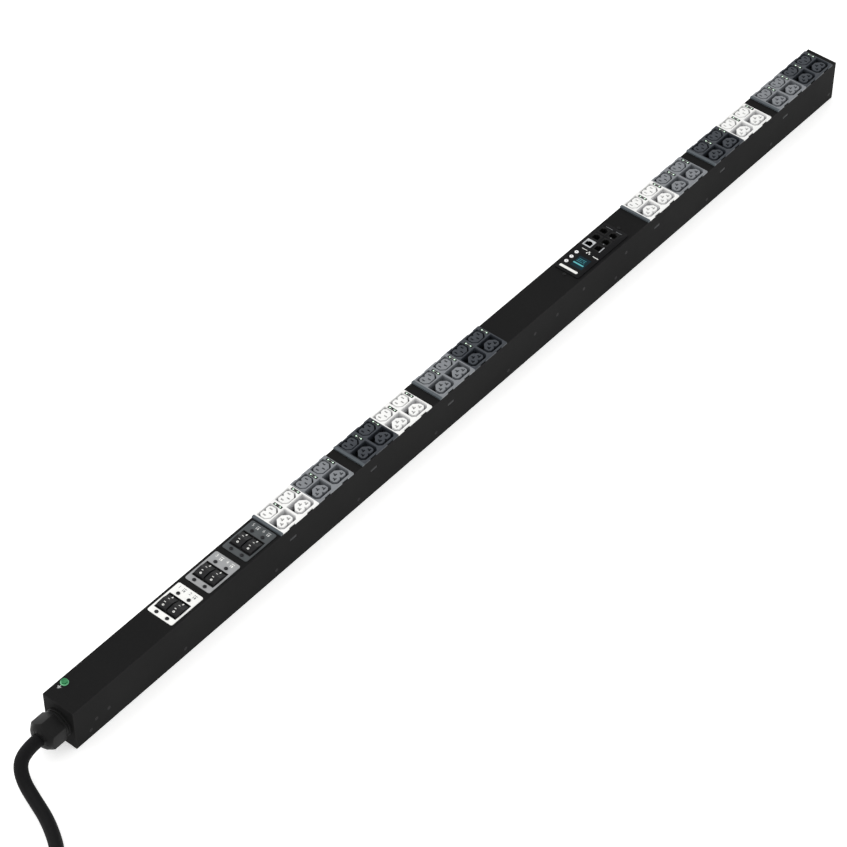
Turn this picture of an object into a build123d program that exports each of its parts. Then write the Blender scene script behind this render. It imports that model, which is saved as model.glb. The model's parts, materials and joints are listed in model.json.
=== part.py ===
from build123d import *
import math
import os

# Vertical rack power strip, lying on its back. Millimetres.
# +X runs from the cord end to the far end, +Y to the left of the face, +Z out of the face.
# The origin is the middle of the back face.

# Sections of the case, in order from the cord end
input_length = 417.5  # breaker section, up to the first outlet module
middle_length = 354.3  # controller section, between the two banks of modules
far_lip = 10.8  # strip of face beyond the last module
modules_per_bank = 3
module_gap = 19.3
lip_length = 4.7  # dark end lip of a module
row_pitch = 38.0
rows_per_half = 2  # rows of outlets in one coloured half of a module

# Case section
width = 56.0
depth = 74.0
sheet = 1.5
cover_flange = 14.0
tray_sheet = 1.2
tray_height = 20.0
fit_gap = 0.2  # sliding clearance between moulded pieces and the case
print_gap = 0.1  # clearance of inlays and light pipes
hole_gap = 0.2  # screw shank to its hole, on the radius
past = 1.0  # how far a cutting shape stands past what it cuts

# Outlet modules
flange_height = 3.0  # how far a module stands out of the face
pocket_depth = 18.0
floor_sheet = 3.0
left_pocket = (29.0, 21.0, 6.5)  # length, width, corner chamfer
right_pocket = (34.5, 26.5, 5.0)
left_pocket_at = (17.0, 14.6)  # from the start of its row, from the middle line
right_pocket_at = (19.0, -11.1)
left_core = (24.0, 16.6, 5.5)
right_core = (25.0, 17.5, 7.5)
right_core_shift = -0.5
core_recess = 0.7
pin_spacing = 14.4
slot_size = (2.4, 5.4)
wide_slot = (5.6, 2.2)
contact_size = (1.6, 4.4)
contact_drop = 9.0  # blades end this far below the island's top
notch_size = (12.5, 1.4)  # finger notch in the flange edge
strip_size = (4.8, 16.0, 0.9)
strip_at = (34.4, 13.1)
light_radius = 1.1
light_spacing = 9.0
board_sheet = 1.6
board_drop = 2.0  # board below the module floor
relay_size = (15.0, 10.0, 12.0)
latch_window = (14.0, 5.0)
latch_at = (24.8, depth - 24.0)  # from the module start, height
latch_leg = (18.0, 2.0)

# Circuit breakers
breaker_count = 3
bezel_start = 197.5
bezel_size = (65.0, 46.5, 1.0)
bezel_corner = 3.0
bezel_pitch = 76.0
breaker_in_bezel = 27.0  # breaker middle, from the bezel's start
breaker_body = (52.0, 19.8, 44.5)
breaker_neck = (32.0, 2.5)
breaker_spread = 20.0
breaker_screw_at = 21.75
rocker_width = 17.6
rocker_radius = 14.6
rocker_rise = 11.0  # ridge above the pivot
rocker_fall = 3.0  # ridge to edge
rocker_pivot_depth = 6.0  # pivot below the face
rocker_tilt = 7.0
rocker_gap = 0.4
trunnion_radius = 2.0

# Controller
controller_in_section = 244.8  # its middle, from the start of the middle section
fascia_size = (129.0, 46.0, 2.0)
fascia_corner = 2.5
fascia_skirt = (124.0, 42.6, 1.5)
housing_size = (126.0, 42.5)
housing_wall = 2.0
housing_flange = 150.0
controller_screw_at = 69.0
display_size = (26.0, 22.0)
display_at = (-33.5, -4.2)
button_radius = 3.25
button_at = ((-44.0, 15.5), (-31.0, 15.5), (-18.0, 15.5))
button_proud = 1.0
port_size = (16.0, 15.0)
port_cavity = (8.6, 11.8, 12.0)
port_columns = (10.5, 29.3, 48.0)
port_rows = (13.0, -5.5)
controller_board_top = depth - 12.4
shielded_count = 1

# Cord entry
gland_height = depth / 2
cord_diameter = 20.0
gland_flange = (22.5, 3.5)
gland_collar = (0.7, 4.3)  # gap and length of the ring between flange and nut
gland_neck = 16.0
gland_thread_length = 24.0
gland_shank_length = 12.0  # inside the end plate
gland_nut_flats = 43.0
gland_nut_length = 25.5
gland_nut_corner = 3.5  # length of the slope at the hexagon's front corners
gland_dome = 6.0
gland_seal_size = (15.5, 4.0)
locknut_flats = 41.0
locknut_length = 7.0
cord_gap = 0.35

# Cord, as it lies: points of the free run after the gland, to where the round coil begins
cord_lift = 10.3  # centre line where it lies on the ground
cord_run = [
    (-961, 0, gland_height),
    (-981, -4, 28),
    (-993, -22, 16.5),
    (-1001, -48, cord_lift),
    (-1016, -92, cord_lift),
    (-1045, -140, cord_lift),
    (-1094, -180, cord_lift),
    (-1160, -200, cord_lift),
    (-1237, -203, cord_lift),
]
coil_middle = (-1237, -94)
coil_turn_radius = 109.0  # centre line of the outer turns
coil_layers = 2
tail_start = -1272
tail_end = -1323
plug_radius = 27.5
plug_length = 75.0
plug_rear_radius = 14.5
plug_rear_length = 20.0
blade_length = 14.0

# Mounting holes on the back
mount_spacing = 1556.0
mount_hole_radius = 2.1

half_length = rows_per_half * row_pitch
module_length = lip_length + 2 * half_length
module_pitch = module_length + module_gap
bank_length = modules_per_bank * module_length + (modules_per_bank - 1) * module_gap
length = input_length + middle_length + 2 * bank_length + far_lip
inner_half = width / 2 - sheet
face_top = depth
face_under = depth - sheet
module_top = depth + flange_height
floor_top = module_top - pocket_depth
floor_under = floor_top - floor_sheet
board_top = floor_under - board_drop
tray_top = sheet + tray_sheet
cord_radius = cord_diameter / 2
middle_start = input_length + bank_length
controller_at = middle_start + controller_in_section
module_starts = [input_length + i * module_pitch for i in range(modules_per_bank)]
module_starts += [middle_start + middle_length + i * module_pitch
                  for i in range(modules_per_bank)]
half_colours = ["white", "grey", "dark", "white", "grey", "dark"] * 2

# Flush rivets and screws in the side walls: distance from the cord end, height, both sides
rivet_shares = (0.12, 0.225, 0.3244, 0.4222, 0.5178, 0.6672, 0.8017, 0.9011)
tray_rivets = [29.0] + [share * length for share in rivet_shares] + [length - 11.0]
rivet_height = 0.65 * tray_height
terminal_screws = [41, 65]
terminal_screw_height = tray_height + 6.5
controller_side_screws = [controller_at - 54, controller_at + 54]
controller_side_height = depth - 24.0
supply_start = middle_start + 18.8
supply_length = 145.0
supply_screws = [supply_start + 51, supply_start + 106]
supply_screw_height = depth - 31.0
sink_radius = 3.0
shank_radius = 1.6
sink_depth = 1.3

ground_place = (32.7 - length / 2, 19.0)

# Wiring inside
terminal_span = (34.0, 80.0)
terminal_height = gland_height + 9.0
wire_radius = 2.5
riser_radius = 1.8
conductor_radius = 2.2
conductor_ring = 5.4  # the conductors' circle inside the jacket
wire_rows = (-20, -10, 0, 10, 20)


def at(distance):
    """Place along X of a distance from the cord end."""
    return distance - length / 2


def brick(x0, x1, y0, y1, z0, z1):
    return Pos((x0 + x1) / 2, (y0 + y1) / 2, (z0 + z1) / 2) * Box(x1 - x0, y1 - y0, z1 - z0)


def post(x, y, z0, z1, radius):
    return Pos(x, y, (z0 + z1) / 2) * Cylinder(radius, z1 - z0)


def bar(x0, x1, y, z, radius):
    """Round bar along X."""
    return Pos((x0 + x1) / 2, y, z) * Rot(0, 90, 0) * Cylinder(radius, x1 - x0)


def pin(x, y0, y1, z, radius):
    """Round pin along Y."""
    return Pos(x, (y0 + y1) / 2, z) * Rot(90, 0, 0) * Cylinder(radius, y1 - y0)


def prism(outline, x, y, z0, z1):
    return Pos(x, y, z0) * extrude(outline, z1 - z0)


def hexagon_x(x0, x1, z, flats):
    outline = RegularPolygon(flats / 2, 6, major_radius=False)
    return Pos(x0, 0, z) * Rot(0, 90, 0) * extrude(outline, x1 - x0)


def save(name, shapes):
    solids = [solid for shape in shapes for solid in shape.solids()]
    export_step(Compound(solids), f"parts/{name}.step")


# ---- side wall fasteners ----

def flush_fastener(x, side, z, inner):
    """Countersunk fastener from the outside of a side wall to `inner` beyond its inner face."""
    head = Cone(shank_radius, sink_radius, sink_depth)
    head = Pos(x, side * (width / 2 - sink_depth / 2), z) * Rot(-90 * side, 0, 0) * head
    shank_start = width / 2 - sheet - inner
    shank_end = width / 2 - sink_depth
    low, high = sorted((side * shank_start, side * shank_end))
    return head + pin(x, low, high, z, shank_radius)


def flush_hole(x, side, z):
    """Clearance for a flush fastener through the side wall, and for its shank beyond."""
    wide = sink_radius + hole_gap / 2
    narrow = shank_radius + hole_gap / 2
    cut = Pos(x, side * (width / 2 - sink_depth / 2), z) * Rot(-90 * side, 0, 0)
    cut = cut * Cone(narrow, wide, sink_depth)
    low, high = sorted((side * (width / 2 - sink_depth), side * (inner_half - 8)))
    return cut + pin(x, low, high, z, narrow)


def fastener_list():
    rivet_grip = tray_sheet + 0.8
    places = [(at(s), side, rivet_height, rivet_grip) for s in tray_rivets for side in (-1, 1)]
    terminal_grip, controller_grip, supply_grip = 6, 4, 2
    places += [(at(s), side, terminal_screw_height, terminal_grip)
               for s in terminal_screws for side in (-1, 1)]
    places += [(at(s), side, controller_side_height, controller_grip)
               for s in controller_side_screws for side in (-1, 1)]
    places += [(at(s), -1, supply_screw_height, supply_grip) for s in supply_screws]
    return places


def controller_screws():
    head_radius, head_height, slot_depth, shank_length = 3.0, 1.2, 0.7, 8
    screws = []
    for side in (-1, 1):
        x = at(controller_at) + side * controller_screw_at
        top = face_top + head_height
        head = post(x, 0, face_top, top, head_radius)
        head -= brick(x - 2.2, x + 2.2, -0.35, 0.35, top - slot_depth, top + past)
        screws.append(head + post(x, 0, face_under - shank_length, face_top, shank_radius))
    return screws


# ---- case ----

def rear_channel():
    x0, x1 = at(sheet), at(length - sheet)
    body = brick(x0, x1, -width / 2, width / 2, 0, sheet)
    for side in (-1, 1):
        low, high = sorted((side * inner_half, side * width / 2))
        body += brick(x0, x1, low, high, sheet, depth)
    cuts = [flush_hole(*place[:3]) for place in fastener_list()]
    for start in module_starts:
        x = at(start + latch_at[0])
        cuts.append(brick(x - latch_window[0] / 2, x + latch_window[0] / 2, -width, width,
                          latch_at[1] - latch_window[1] / 2, latch_at[1] + latch_window[1] / 2))
    for x in (-mount_spacing / 2, mount_spacing / 2):
        cuts.append(post(x, 0, -1, tray_top, mount_hole_radius))
    return body - cuts


def stiffener_tray():
    x0, x1 = at(sheet), at(length - sheet)
    body = brick(x0, x1, -inner_half, inner_half, sheet, tray_top)
    for side in (-1, 1):
        low, high = sorted((side * (inner_half - tray_sheet), side * inner_half))
        body += brick(x0, x1, low, high, tray_top, tray_height)
    cuts = [flush_hole(at(s), side, rivet_height) for s in tray_rivets for side in (-1, 1)]
    for x in (-mount_spacing / 2, mount_spacing / 2):
        cuts.append(post(x, 0, 0, tray_top + 1, mount_hole_radius))
    return body - cuts


def cover(s0, s1):
    """Front plate between the side walls, with a fold down each edge."""
    x0, x1 = at(s0), at(s1)
    body = brick(x0, x1, -inner_half, inner_half, face_under, face_top)
    for side in (-1, 1):
        low, high = sorted((side * (inner_half - sheet), side * inner_half))
        body += brick(x0, x1, low, high, face_top - cover_flange, face_under)
    return body


def breaker_middles():
    return [bezel_start + breaker_in_bezel + i * bezel_pitch for i in range(breaker_count)]


def breaker_screw_places(middle):
    return [(at(middle) + end * breaker_screw_at, side * breaker_spread / 2)
            for end in (-1, 1) for side in (-1, 1)]


def front_cover_input():
    body = cover(sheet, input_length)
    reach_x = breaker_neck[0] / 2 + 0.5
    reach_y = breaker_spread / 2 + breaker_body[1] / 2 + 0.6
    cuts = [post(*ground_place, face_under - 1, face_top + 1, 2.6)]
    for middle in breaker_middles():
        x = at(middle)
        cuts.append(brick(x - reach_x, x + reach_x, -reach_y, reach_y, face_under - 1, face_top + 1))
        cuts += [post(sx, sy, face_under - 1, face_top + 1, shank_radius + hole_gap)
                 for sx, sy in breaker_screw_places(middle)]
    return body - cuts


def front_cover_middle():
    body = cover(middle_start, middle_start + middle_length)
    x = at(controller_at)
    reach_x = fascia_skirt[0] / 2 + 0.5
    reach_y = fascia_skirt[1] / 2 + 0.5
    cuts = [brick(x - reach_x, x + reach_x, -reach_y, reach_y, face_under - 1, face_top + 1)]
    for side in (-1, 1):
        cuts.append(post(x + side * controller_screw_at, 0, face_under - 1, face_top + 1,
                         shank_radius + hole_gap))
    # the folds stop short of the controller's housing
    for side in (-1, 1):
        low, high = sorted((side * (inner_half - 3), side * (inner_half + 1)))
        cuts.append(brick(x - housing_flange / 2 - 0.5, x + housing_flange / 2 + 0.5, low, high,
                          face_top - cover_flange - 1, face_under))
    return body - cuts


def front_bridges():
    pairs = zip(module_starts, module_starts[1:])
    return [cover(a + module_length, b) for a, b in pairs if b - a < module_pitch + 1]


def end_tabs(s0, s1):
    tabs = []
    for side in (-1, 1):
        low, high = sorted((side * (inner_half - sheet), side * inner_half))
        tabs.append(brick(at(s0), at(s1), low, high, tray_height + 4, face_top - cover_flange - 2))
    return tabs


def cord_end_plate():
    body = brick(at(0), at(sheet), -width / 2, width / 2, 0, depth)
    for tab in end_tabs(sheet, sheet + 12):
        body += tab
    return body - bar(at(-1), at(sheet + 1), 0, gland_height, gland_neck + hole_gap)


def far_end_cap():
    body = brick(at(length - sheet), at(length), -width / 2, width / 2, 0, depth)
    body += brick(at(length - far_lip), at(length - sheet), -inner_half, inner_half, face_under, face_top)
    for tab in end_tabs(length - sheet - 9, length - sheet):
        body += tab
    return body


# ---- cord gland ----

def gland_body():
    radius, thick = gland_flange
    collar_start = -thick - gland_collar[0]
    collar_end = collar_start - gland_collar[1]
    neck_end = -thick - gland_thread_length
    body = bar(at(-thick), at(0), 0, gland_height, radius)
    body += bar(at(collar_start), at(-thick), 0, gland_height, radius - 2.5)
    body += bar(at(collar_end), at(collar_start), 0, gland_height, radius - 0.7)
    body += bar(at(neck_end), at(collar_end), 0, gland_height, gland_neck + 1)
    body += bar(at(0), at(sheet + gland_shank_length), 0, gland_height, gland_neck)
    return body - bar(at(neck_end - past), at(2 * gland_shank_length), 0, gland_height,
                      cord_radius + cord_gap)


def nut_start():
    return -gland_flange[1] - sum(gland_collar) - 0.5


def cord_exit():
    return at(nut_start() - gland_nut_length - gland_dome)


def gland_nut():
    base = nut_start()
    front = base - gland_nut_length
    hexagon = hexagon_x(at(front), at(base), gland_height, gland_nut_flats)
    rim = gland_nut_flats / 2
    corner = rim + 3.2
    tip = gland_nut_length + gland_dome
    outline = make_face(Polyline((0, 0), (corner, 0), (corner, gland_nut_corner - gland_nut_length),
                                 (rim, -gland_nut_length), (cord_radius + 4, -tip), (0, -tip), (0, 0)))
    turned = revolve(outline, Axis.Y)
    turned = Pos(at(base), 0, gland_height) * Rot(0, 0, -90) * turned
    dome = turned & (hexagon + bar(at(base - tip), at(front), 0, gland_height, rim))
    dome -= bar(at(front + 2), at(base + past), 0, gland_height, gland_neck + 1 + hole_gap)
    return dome - bar(at(base - tip - past), at(base + past), 0, gland_height, cord_radius + cord_gap)


def gland_seal():
    front = nut_start() - gland_nut_length + 2
    radius, long = gland_seal_size
    ring = bar(at(front), at(front + long), 0, gland_height, radius)
    return ring - bar(at(front - past), at(front + long + past), 0, gland_height,
                      cord_radius + cord_gap)


def gland_locknut():
    end = sheet + locknut_length
    nut = hexagon_x(at(sheet), at(end), gland_height, locknut_flats)
    return nut - bar(at(0), at(end + past), 0, gland_height, gland_neck + hole_gap)


# ---- circuit breakers ----

def breaker_bezel(middle):
    x = at(middle) - breaker_in_bezel + bezel_size[0] / 2
    outline = RectangleRounded(bezel_size[0], bezel_size[1], bezel_corner)
    plate = prism(outline, x, 0, face_top, face_top + bezel_size[2])
    reach_x = breaker_neck[0] / 2 + 0.3
    reach_y = breaker_spread / 2 + breaker_body[1] / 2 + 0.3
    low, high = face_top - past, face_top + bezel_size[2] + past
    cuts = [brick(at(middle) - reach_x, at(middle) + reach_x, -reach_y, reach_y, low, high)]
    cuts += [post(sx, sy, low, high, shank_radius + hole_gap) for sx, sy in breaker_screw_places(middle)]
    return plate - cuts


def breaker(middle, side):
    x, y = at(middle), side * breaker_spread / 2
    long, wide, deep = breaker_body
    neck_top = face_under + breaker_neck[1]
    body = brick(x - long / 2, x + long / 2, y - wide / 2, y + wide / 2, face_under - deep, face_under)
    body += brick(x - breaker_neck[0] / 2, x + breaker_neck[0] / 2, y - wide / 2, y + wide / 2,
                  face_under, neck_top)
    pivot = face_top - rocker_pivot_depth
    reach_x = rocker_radius + rocker_gap
    reach_y = rocker_width / 2 + 0.3
    cuts = [brick(x - reach_x, x + reach_x, y - reach_y, y + reach_y, pivot - 9, neck_top + 1)]
    cuts.append(pin(x, y - wide, y + wide, pivot, trunnion_radius + hole_gap))
    cuts += [post(sx, sy, face_under - 12, face_under + 1, shank_radius + hole_gap)
             for sx, sy in breaker_screw_places(middle) if sy * side > 0]
    return body - cuts


def breaker_rocker(middle, side):
    """Ridge-topped rocker at its ON tilt, far end pressed in, on two short trunnions."""
    edge = rocker_rise - rocker_fall
    outline = make_face(Polyline((-rocker_radius, -4), (rocker_radius, -4), (rocker_radius, edge),
                                 (0, rocker_rise), (-rocker_radius, edge), (-rocker_radius, -4)))
    body = extrude(Plane.XZ * outline, rocker_width / 2, both=True)
    body = body & (Rot(90, 0, 0) * Cylinder(rocker_radius, rocker_width))
    body += Rot(90, 0, 0) * Cylinder(trunnion_radius, breaker_body[1] - 0.4)
    pivot = face_top - rocker_pivot_depth
    return Pos(at(middle), side * breaker_spread / 2, pivot) * Rot(0, rocker_tilt, 0) * body


def breaker_screws():
    screws = []
    seat = face_top + bezel_size[2]
    for middle in breaker_middles():
        for x, y in breaker_screw_places(middle):
            head = post(x, y, seat, seat + 1.4, 3.0)
            head -= brick(x - 2, x + 2, y - 0.35, y + 0.35, seat + 0.6, seat + 2)
            head -= brick(x - 0.35, x + 0.35, y - 2, y + 2, seat + 0.6, seat + 2)
            screws.append(head + post(x, y, face_under - 11, seat, shank_radius))
    return screws


def ground_screw():
    x, y = ground_place
    head = post(x, y, face_top, face_top + 1.2, 6.0)
    head += prism(RegularPolygon(4.5, 6, major_radius=False), x, y, face_top + 1.2, face_top + 4)
    head += post(x, y, face_under - 9, face_top, 2.4)
    return head


# ---- outlet modules ----

def pocket_outline(size, outer):
    """Pocket with its two chamfered corners on the side away from `outer`."""
    long, wide, chamfer = size
    x, y = long / 2, wide / 2
    points = [(-x, outer * y), (x, outer * y), (x, outer * (chamfer - y)), (x - chamfer, -outer * y),
              (chamfer - x, -outer * y), (-x, outer * (chamfer - y)), (-x, outer * y)]
    face = make_face(Polyline(*points))
    return fillet(face.vertices(), 1.6)


def core_outline(size, outer):
    """Island with a notch in the middle of its outer side and chamfers on the other side."""
    long, wide, chamfer = size
    x, y = long / 2, wide / 2
    round_off = 3.0
    points = [(-x, outer * (y - round_off)), (round_off - x, outer * y), (-2.4, outer * y),
              (0, outer * (y - 3.8)), (2.4, outer * y), (x - round_off, outer * y),
              (x, outer * (y - round_off)), (x, outer * (chamfer - y)), (x - chamfer, -outer * y),
              (chamfer - x, -outer * y), (-x, outer * (chamfer - y)), (-x, outer * (y - round_off))]
    face = make_face(Polyline(*points))
    return fillet(face.vertices(), 0.8)


def pin_places(outer):
    """Two pins on the outer side and the earth pin on the side of the middle line."""
    return [(-pin_spacing / 2, outer * 2.2), (pin_spacing / 2, outer * 2.2), (0, -outer * 3.2)]


def left_core_solid():
    outline = core_outline(left_core, 1)
    cuts = [Pos(x, y) * Rectangle(*slot_size) for x, y in pin_places(1)]
    return extrude(outline - cuts, pocket_depth - core_recess)


def right_core_solid():
    outline = core_outline(right_core, -1)
    cuts = []
    for x, y in pin_places(-1):
        cuts.append(Pos(x, y) * Rectangle(*slot_size))
        cuts.append(Pos(x, y - slot_size[1] / 2 + wide_slot[1] / 2) * Rectangle(*wide_slot))
    return extrude(outline - cuts, pocket_depth - core_recess)


def row_starts(start):
    """Start of each row of a coloured half that begins at `start`."""
    return [start + i * row_pitch for i in range(rows_per_half)]


def outlet_places(start):
    """Left and right outlet centres of one coloured half."""
    left = [(at(s + left_pocket_at[0]), left_pocket_at[1]) for s in row_starts(start)]
    right = [(at(s + right_pocket_at[0]), right_pocket_at[1] + right_core_shift)
             for s in row_starts(start)]
    return left, right


def light_places(start):
    return [(at(s + strip_at[0]), strip_at[1] + side * light_spacing / 2)
            for s in row_starts(start) for side in (-1, 1)]


def contact_places(start):
    left, right = outlet_places(start)
    places = [(x + px, y + py) for x, y in left for px, py in pin_places(1)]
    return places + [(x + px, y + py) for x, y in right for px, py in pin_places(-1)]


def half_starts(start):
    return [start + lip_length, start + lip_length + half_length]


def outlet_block(start):
    """Coloured half of a module: the walls around four pockets, on a flange over the case."""
    x0, x1 = at(start), at(start + half_length)
    skirt = inner_half - fit_gap
    body = brick(x0, x1, -width / 2, width / 2, face_top, module_top)
    rim = body.edges().filter_by(Axis.X).sort_by(Axis.Z)[-2:]
    body = chamfer(rim, 0.6)
    body += brick(x0, x1, -skirt, skirt, floor_top, face_top)
    cuts = []
    for s in row_starts(start):
        cuts.append(prism(pocket_outline(left_pocket, 1), at(s + left_pocket_at[0]), left_pocket_at[1],
                          floor_top - 1, module_top + 1))
        cuts.append(prism(pocket_outline(right_pocket, 1), at(s + right_pocket_at[0]),
                          right_pocket_at[1], floor_top - 1, module_top + 1))
        x = at(s + right_pocket_at[0])
        for side in (-1, 1):
            low, high = sorted((side * (width / 2 - notch_size[1]), side * (width / 2 + 1)))
            cuts.append(brick(x - notch_size[0] / 2, x + notch_size[0] / 2, low, high,
                              face_top - 1, module_top + 1))
        x = at(s + strip_at[0])
        reach_x = strip_size[0] / 2 + print_gap
        reach_y = strip_size[1] / 2 + print_gap
        cuts.append(brick(x - reach_x, x + reach_x, strip_at[1] - reach_y, strip_at[1] + reach_y,
                          module_top - strip_size[2], module_top + 1))
    cuts += [post(x, y, floor_top - 1, module_top + 1, light_radius + print_gap)
             for x, y in light_places(start)]
    return body - cuts


def module_carrier(start):
    """Dark carrier: end lip, floor under the pockets, board posts and side latches."""
    x0, x1 = at(start), at(start + module_length)
    skirt = inner_half - fit_gap
    lip_end = at(start + lip_length)
    body = brick(x0, x1, -skirt, skirt, floor_under, floor_top)
    body += brick(x0, lip_end, -skirt, skirt, floor_top, face_top)
    body += brick(x0, lip_end, -width / 2, width / 2, face_top, module_top)
    x = at(start + latch_at[0])
    for side in (-1, 1):
        low, high = sorted((side * (skirt - latch_leg[1]), side * skirt))
        body += brick(x - latch_leg[0] / 2, x + latch_leg[0] / 2, low, high,
                      latch_at[1] - latch_window[1], floor_under)
        low, high = sorted((side * skirt, side * (width / 2 - 0.2)))
        body += brick(x - latch_window[0] / 2 + 0.3, x + latch_window[0] / 2 - 0.3, low, high,
                      latch_at[1] - latch_window[1] / 2 + 0.3, latch_at[1] + latch_window[1] / 2 - 0.3)
    for s in (start + 8, start + module_length - 8):
        for side in (-1, 1):
            body += post(at(s), side * 19, board_top, floor_under, 2.5)
    cuts = []
    for half in half_starts(start):
        cuts += [brick(px - 1.1, px + 1.1, py - 2.5, py + 2.5, floor_under - 1, floor_top + 1)
                 for px, py in contact_places(half)]
        cuts += [post(px, py, floor_under - 1, floor_top + 1, light_radius + print_gap)
                 for px, py in light_places(half)]
    return body - cuts


def outlet_contacts():
    contacts = []
    for start in module_starts:
        for half in half_starts(start):
            for x, y in contact_places(half):
                contacts.append(brick(x - contact_size[0] / 2, x + contact_size[0] / 2,
                                      y - contact_size[1] / 2, y + contact_size[1] / 2,
                                      board_top, module_top - core_recess - contact_drop))
    return contacts


def indicator_strips():
    strips = []
    for start in module_starts:
        for half in half_starts(start):
            for s in row_starts(half):
                x = at(s + strip_at[0])
                strip = brick(x - strip_size[0] / 2, x + strip_size[0] / 2,
                              strip_at[1] - strip_size[1] / 2, strip_at[1] + strip_size[1] / 2,
                              module_top - strip_size[2], module_top + 0.1)
                holes = [post(x, strip_at[1] + side * light_spacing / 2, module_top - 3, module_top + 3,
                              light_radius + print_gap) for side in (-1, 1)]
                strips.append(strip - holes)
    return strips


def indicator_lights():
    return [post(x, y, board_top, module_top + 0.2, light_radius)
            for start in module_starts for half in half_starts(start) for x, y in light_places(half)]


def module_boards():
    """Metering and relay board under each module, with one relay for each outlet."""
    boards = []
    for start in module_starts:
        x0, x1 = at(start + 3), at(start + module_length - 3)
        boards.append(brick(x0, x1, -22, 22, board_top - board_sheet, board_top))
        under = board_top - board_sheet
        for i in range(2 * rows_per_half):
            x = at(start + lip_length + (i + 0.5) * row_pitch)
            for y in (-13, 13):
                boards.append(brick(x - relay_size[0] / 2, x + relay_size[0] / 2,
                                    y - relay_size[1] / 2, y + relay_size[1] / 2,
                                    under - relay_size[2], under))
    return boards


# ---- wiring inside ----

def terminal_block():
    x0, x1 = at(terminal_span[0]), at(terminal_span[1])
    skirt = inner_half - tray_sheet - fit_gap
    body = brick(x0, x1, -skirt, skirt, tray_top, terminal_height)
    cuts = [flush_hole(at(s), side, terminal_screw_height) for s in terminal_screws for side in (-1, 1)]
    well_radius, well_depth, well_reach = 3, 8, 10
    for y in wire_rows:
        for side in (-1, 1):
            cuts.append(post((x0 + x1) / 2 + side * well_reach, 0.9 * y, terminal_height - well_depth,
                             terminal_height + past, well_radius))
    return body - cuts


def supply_wires():
    """Jacket end in the gland, its five conductors, the five trunk wires and their risers."""
    inner = at(sheet + gland_shank_length)
    wires = [bar(cord_exit(), inner, 0, gland_height, cord_radius)]
    for i in range(len(wire_rows)):
        angle = 2 * math.pi * i / len(wire_rows) + math.pi / 2
        y = conductor_ring * math.cos(angle)
        z = gland_height + conductor_ring * math.sin(angle)
        wires.append(bar(inner, at(terminal_span[0]), y, z, conductor_radius))
    trunk = tray_top + wire_radius
    for y in wire_rows:
        wires.append(bar(at(terminal_span[1]), at(length - 30), y, trunk, wire_radius))
    for start in module_starts:
        for y in wire_rows[1:4]:
            x = at(start + lip_length + half_length)
            wires.append(post(x, y, trunk + wire_radius, board_top - board_sheet, riser_radius))
    return wires


def power_supply():
    """Board on posts over the trunk wires, with transformer, capacitors and heat plate."""
    x0, x1 = at(supply_start), at(supply_start + supply_length)
    board = 12.0
    top = board + board_sheet
    plate_inner = inner_half - 2
    parts = [brick(x0, x1, -plate_inner, 23, board, top)]
    parts += [post(x, y, tray_top, board, 2.0) for x in (x0 + 6, x1 - 6) for y in (-15, 15)]
    # transformer, two capacitors, choke and outlet plug
    parts.append(brick(x0 + 55, x0 + 91, -14, 14, top, top + 26))
    parts += [post(x0 + 15 + i * 19, 6, top, top + 30, 8) for i in range(2)]
    parts.append(brick(x0 + 101, x0 + 117, -16, -4, top, top + 18))
    parts.append(brick(x0 + 123, x0 + 139, -10, 14, top, top + 12))
    # heat plate, held against the side wall, with its foot on the board
    plate_start, plate_end, plate_top = x0 + 30, x0 + 130, supply_screw_height + 7
    low, fold = tray_height + 1, tray_height + 4
    plate = brick(plate_start, plate_end, -inner_half, -plate_inner, low, plate_top)
    plate += brick(plate_start, plate_end, -plate_inner, 3 - plate_inner, top, fold)
    plate += brick(plate_start, plate_end, -plate_inner, 1 - plate_inner, low, fold)
    plate -= [flush_hole(at(s), -1, supply_screw_height) for s in supply_screws]
    parts.append(plate)
    return parts


# ---- controller ----

def controller_housing():
    x = at(controller_at)
    long, deep = housing_size
    skirt = inner_half - fit_gap
    top = face_under - housing_wall
    floor = top - deep
    body = brick(x - long / 2, x + long / 2, -skirt, skirt, floor, top)
    body -= brick(x - long / 2 + housing_wall, x + long / 2 - housing_wall, housing_wall - skirt,
                  skirt - housing_wall, floor + housing_wall, top + 1)
    ring = brick(x - housing_flange / 2, x + housing_flange / 2, -skirt, skirt, top, face_under)
    ring -= brick(x - 60, x + 60, -20.5, 20.5, top - 1, face_under + 1)
    ring -= [post(x + side * controller_screw_at, 0, top - 1, face_under + 1, shank_radius + hole_gap)
             for side in (-1, 1)]
    body += ring
    for px in (x - 55, x + 55):
        for py in (-19, 19):
            body += post(px, py, floor + housing_wall, controller_board_top - board_sheet, 3)
    return body - [flush_hole(at(s), side, controller_side_height)
                   for s in controller_side_screws for side in (-1, 1)]


def port_places():
    return [(at(controller_at) + px, py) for px in port_columns for py in port_rows]


def controller_fascia():
    x = at(controller_at)
    outline = RectangleRounded(fascia_size[0], fascia_size[1], fascia_corner)
    plate = prism(outline, x, 0, face_top, face_top + fascia_size[2])
    long, wide, wall = fascia_skirt
    skirt = brick(x - long / 2, x + long / 2, -wide / 2, wide / 2, face_under, face_top)
    skirt -= brick(x - long / 2 + wall, x + long / 2 - wall, wall - wide / 2, wide / 2 - wall,
                   face_under - 1, face_top + 1)
    body = plate + skirt
    low, high = face_under - past, face_top + fascia_size[2] + past
    window = Rectangle(display_size[0] + 2 * fit_gap, display_size[1] + 2 * fit_gap)
    mouth = Rectangle(port_size[0] + 2 * fit_gap, port_size[1] + 2 * fit_gap)
    cuts = [prism(window, x + display_at[0], display_at[1], low, high)]
    cuts += [post(x + bx, by, low, high, button_radius + 0.3) for bx, by in button_at]
    cuts += [prism(mouth, px, py, low, high) for px, py in port_places()]
    return body - cuts


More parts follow.
